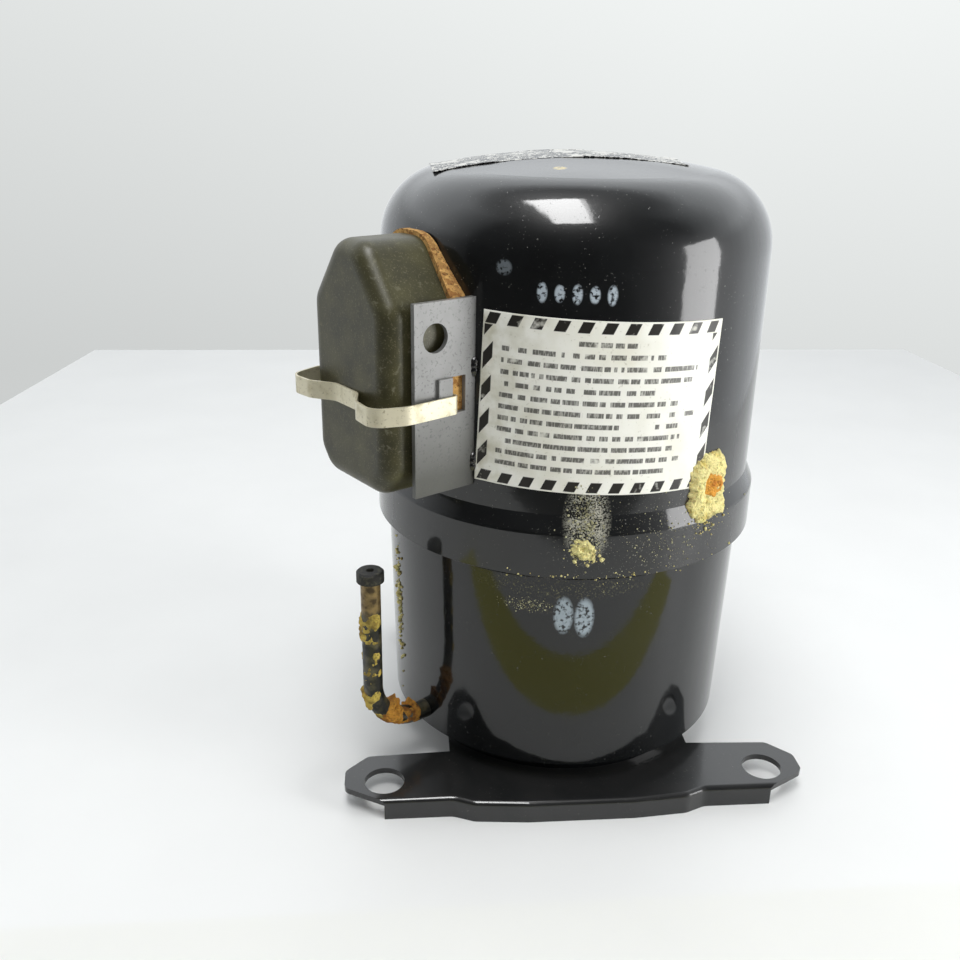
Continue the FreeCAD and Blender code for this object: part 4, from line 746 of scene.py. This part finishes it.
# %% Foam
def foam_finish(name, fresh, skin, share):
    """Broken bubbles: colour patches at 6 mm, dark pores at 0.8 mm, deep bumps."""
    made, tree, shader = paint(name, fresh, 0.95, Subsurface_Weight=0.08)
    where = place_of(tree)
    patches = step(tree, fine(tree, 7, where, Detail=5.0), share, share + 0.12)
    pores = step(tree, fine(tree, 0.8, where, Detail=2.0), 0.55, 0.68)
    tone = blend_colour(tree, patches, linear(fresh), linear(skin))
    tone = blend_colour(tree, calc(tree, "MULTIPLY", pores, 0.45), tone, linear("#6b5a24"))
    tree.links.new(tone, shader.inputs["Base Color"])
    rough_surface(tree, shader, calc(tree, "SUBTRACT", fine(tree, 0.6, where, Detail=3.0), pores), 0.5)
    return made


yellow_foam = foam_finish("torn_yellow_foam", "#e3d692", "#cdb764", 0.55)
orange_foam = foam_finish("foam_skin_orange", "#b9802c", "#7d4c19", 0.52)
bright_foam = foam_finish("torn_orange_foam", "#dc9a3c", "#c57a2b", 0.5)
grey_foam = foam_finish("dusty_foam_crumb", "#b9b48e", "#8f8a68", 0.5)
old_foam = foam_finish("weathered_foam_crust", "#c4a94f", "#8a7434", 0.5)


def foam_patch(name, bearing, height, half_across, half_tall, thick, finish, seed, hollow=0.0):
    """A torn lump on the can: a dome thick mm high on a ragged oval, sunk into the paint at its rim."""
    ring_at, spoke = np.meshgrid(np.linspace(0, 1, 70), np.linspace(0, 2 * np.pi, 200, endpoint=False),
                                 indexing="ij")
    circle = np.stack([3 * np.cos(spoke), 3 * np.sin(spoke), 0 * spoke], -1)
    edge = 1 + 0.25 * lump(circle, 2.2, seed) + 0.16 * crusty(circle, 0.4, seed + 2) * ring_at
    sideways = half_across * ring_at * edge * np.cos(spoke)
    upwards = half_tall * ring_at * edge * np.sin(spoke)
    tall = height + upwards
    base = can_radius(tall)
    turn = bearing + np.degrees(sideways / base)
    seat = on_can(turn, tall, base)
    dome = np.sqrt(np.clip(1 - ring_at ** 2, 0, 1)) * (1 - hollow * np.exp(-(ring_at / 0.45) ** 2))
    rise = dome * (thick * (0.8 + 0.4 * crusty(seat, 7, seed)) + 1.9 * crusty(seat, 2.0,
                                                                              seed + 7)) - 0.5 * ring_at ** 6
    points = on_can(turn, tall, base + rise)
    return finish_piece(name, points.reshape(-1, 3), squares(70, 200, False, True), "housing", finish)


foam_patch("foam_chunk", -55.0, 154, 13.0, 15.0, 5.6, yellow_foam, 31, 0.8)
foam_patch("foam_chunk_skin", -53.0, 156, 8.0, 10.5, 4.2, bright_foam, 37)
foam_patch("foam_scrap_low", -93.0, 133, 5.5, 5.5, 1.6, yellow_foam, 41)


# %% [markdown]
# Crumbs are too many to shape one by one. One small twenty-faced stone is copied, and each copy gets
# its own size, turn and place from a seeded generator, all as arrays and all in one mesh.

# %% Crumbs
golden = (1 + 5 ** 0.5) / 2
stone = np.array([(-1, golden, 0), (1, golden, 0), (-1, -golden, 0), (1, -golden, 0), (0, -1, golden),
                  (0, 1, golden),
                  (0, -1, -golden), (0, 1, -golden), (golden, 0, -1), (golden, 0, 1), (-golden, 0, -1),
                  (-golden, 0, 1)]) / 1.9
stone_faces = np.array([(0, 11, 5), (0, 5, 1), (0, 1, 7), (0, 7, 10), (0, 10, 11), (1, 5, 9), (5, 11, 4),
                        (11, 10, 2),
                        (10, 7, 6), (7, 1, 8), (3, 9, 4), (3, 4, 2), (3, 2, 6), (3, 6, 8), (3, 8, 9), (4, 9,
                                                                                                       5),
                        (2, 4, 11), (6, 2, 10), (8, 6, 7), (9, 8, 1)])


def crumbs(name, count, bearing, height, spread, size, finish, seed, narrow=1.0):
    """Stones on the can round a bearing and height. Size is the smallest and largest radius in mm."""
    dice = np.random.default_rng(seed)
    turn = bearing + spread[0] * dice.normal(size=count) * narrow
    tall = height + spread[1] * dice.normal(size=count)
    small = size[0] + (size[1] - size[0]) * dice.random(count) ** 3
    centre = on_can(turn, tall, can_radius(tall) + small * 0.2)
    shape = stone[None] * (small[:, None, None] * (0.6 + 0.8 * dice.random((count, 12, 1))))
    points = (centre[:, None] + shape).reshape(-1, 3)
    faces = (stone_faces[None] + 12 * np.arange(count)[:, None, None]).reshape(-1, 3)
    return finish_piece(name, points, faces, "housing", finish)


crumbs("crumbs_patch", 420, -92.6, 147, (2.2, 8.0), (0.15, 0.55), grey_foam, 1)
crumbs("crumbs_patch_low", 90, -93.0, 131, (2.2, 2.6), (0.3, 1.2), yellow_foam, 2)
crumbs("crumbs_bead", 260, -70, 133, (11, 9.0), (0.12, 0.5), grey_foam, 3)
crumbs("crumbs_seam", 120, -82, 118, (19, 1.6), (0.2, 0.7), yellow_foam, 4)
crumbs("crumbs_chunk", 70, -55, 140, (4.0, 5.0), (0.2, 0.8), yellow_foam, 5)
crumbs("crumbs_smear", 130, -108, 101, (3.6, 1.8), (0.15, 0.5), grey_foam, 6)
crumbs("crumbs_left", 170, -164, 74, (1.6, 17.0), (0.3, 1.3), yellow_foam, 7)

# %% [markdown]
# On the tube the foam makes a patchy sleeve. A ring of points is carried up the tube's middle line,
# and its radius swells wherever the noise is high; where the noise is low it dips inside the copper,
# so bare tube shows between the patches.

# %% Foam on the discharge tube
terminal_turn = math.radians(213.5)
outwards = np.array([math.cos(terminal_turn), math.sin(terminal_turn), 0])
sideways = np.array([-math.sin(terminal_turn), math.cos(terminal_turn), 0])
upright = np.array([0, 0, 1.0])
TUBE, BEND, OUT, LOW = 4.76, 26.0, 120.0, 22.0


def tube_line(length):
    """Middle line of the tube in mm: level out of the shell, a quarter circle of 26 mm, then upright."""
    arc = math.pi / 2 * BEND
    level_run = np.minimum(length, 0)
    turned = np.clip(length, 0, arc) / BEND
    rise = np.maximum(length - arc, 0)
    out = OUT - BEND + level_run + BEND * np.sin(turned)
    tall = LOW + BEND * (1 - np.cos(turned)) + rise
    lean = np.stack([np.cos(turned), 0 * turned, np.sin(turned)], -1)
    return out, tall, lean


def tube_foam(name, start, end, thick, share, finish, seed, lean_to=0.0):
    """Sleeve round the tube: radius = tube - 0.5 + thick x (noise above share), closed inside the copper."""
    length, round_it = np.meshgrid(np.linspace(start, end, 150),
                                   np.linspace(0, 2 * np.pi, 64, endpoint=False),
                                   indexing="ij")
    out, tall, lean = tube_line(length)
    middle = out[..., None] * outwards + tall[..., None] * upright
    normal = lean[..., 2:] * outwards - lean[..., :1] * upright
    skin = np.cos(round_it)[..., None] * normal + np.sin(round_it)[..., None] * sideways
    lumps = crusty(middle + skin * TUBE, 7, seed) + 0.35 * crusty(middle + skin * TUBE, 2.0, seed + 5)
    fade = np.clip(np.minimum(length - start, end - length) / 4, 0, 1)
    side = 1 + lean_to * np.cos(round_it)
    radius = TUBE - 0.5 + thick * np.clip((lumps + share) * fade * side, 0, 1.6)
    points = middle + skin * radius[..., None]
    core = (middle + skin * (TUBE - 0.7))[::-1]
    loop = np.concatenate([points, core], 0)
    return finish_piece(name, loop.reshape(-1, 3), squares(300, 64, True, True), "housing", finish)


tube_foam("tube_foam", 14, 84, 2.2, 0.12, old_foam, 51, 0.7)
tube_foam("tube_foam_chunk", 0, 26, 4.2, 0.25, orange_foam, 57, -0.7)

# %% [markdown]
# The bracket's wings are arc-welded to the can by hand, so each root has two short, fat beads. A bead
# is a chain of rings that swell from nothing, stay lumpy, and close again.

# %% Weld beads on the bracket
def wing_bead(name, side, middle_z, long):
    """A bead 'long' mm tall up the root of one wing: radius 2 x sqrt(1 - t^4), ribbed every 2.4 mm."""
    t, turn = np.meshgrid(np.linspace(-1, 1, 90), np.linspace(0, 2 * np.pi, 28, endpoint=False),
                          indexing="ij")
    tall = middle_z + t * long / 2
    across = side * 34.0
    out = math.sqrt(93.0 ** 2 - across ** 2)
    centre = out * outwards + across * sideways + tall[..., None] * upright
    fat = 2.0 * np.sqrt(np.maximum(1 - t ** 4, 1e-4)) * (1 + 0.05 * np.sin(tall * 2 * np.pi / 2.4)
                                                        + 0.22 * lump(centre, 5, 61))
    points = centre + fat[..., None] * (np.cos(turn)[..., None] * outwards + np.sin(turn)[...,
                                                                                          None] * sideways)
    return finish_piece(name, points.reshape(-1, 3), squares(90, 28, False, True), "housing", weld_enamel)


for number, (side, middle_z, long) in enumerate([(1, 211, 9), (1, 168, 9), (-1, 211, 9), (-1, 168, 9)]):
    wing_bead(f"wing_bead_{number}", side, middle_z, long)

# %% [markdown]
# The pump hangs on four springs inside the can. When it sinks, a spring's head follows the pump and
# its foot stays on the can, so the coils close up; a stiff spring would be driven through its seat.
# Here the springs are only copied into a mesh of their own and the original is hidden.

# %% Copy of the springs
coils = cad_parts["suspension_springs"].data.copy()
coils.name = "closing_springs"
springs = bpy.data.objects.new("closing_springs", coils)
bpy.context.scene.collection.objects.link(springs)
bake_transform(springs)
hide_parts("suspension_springs")
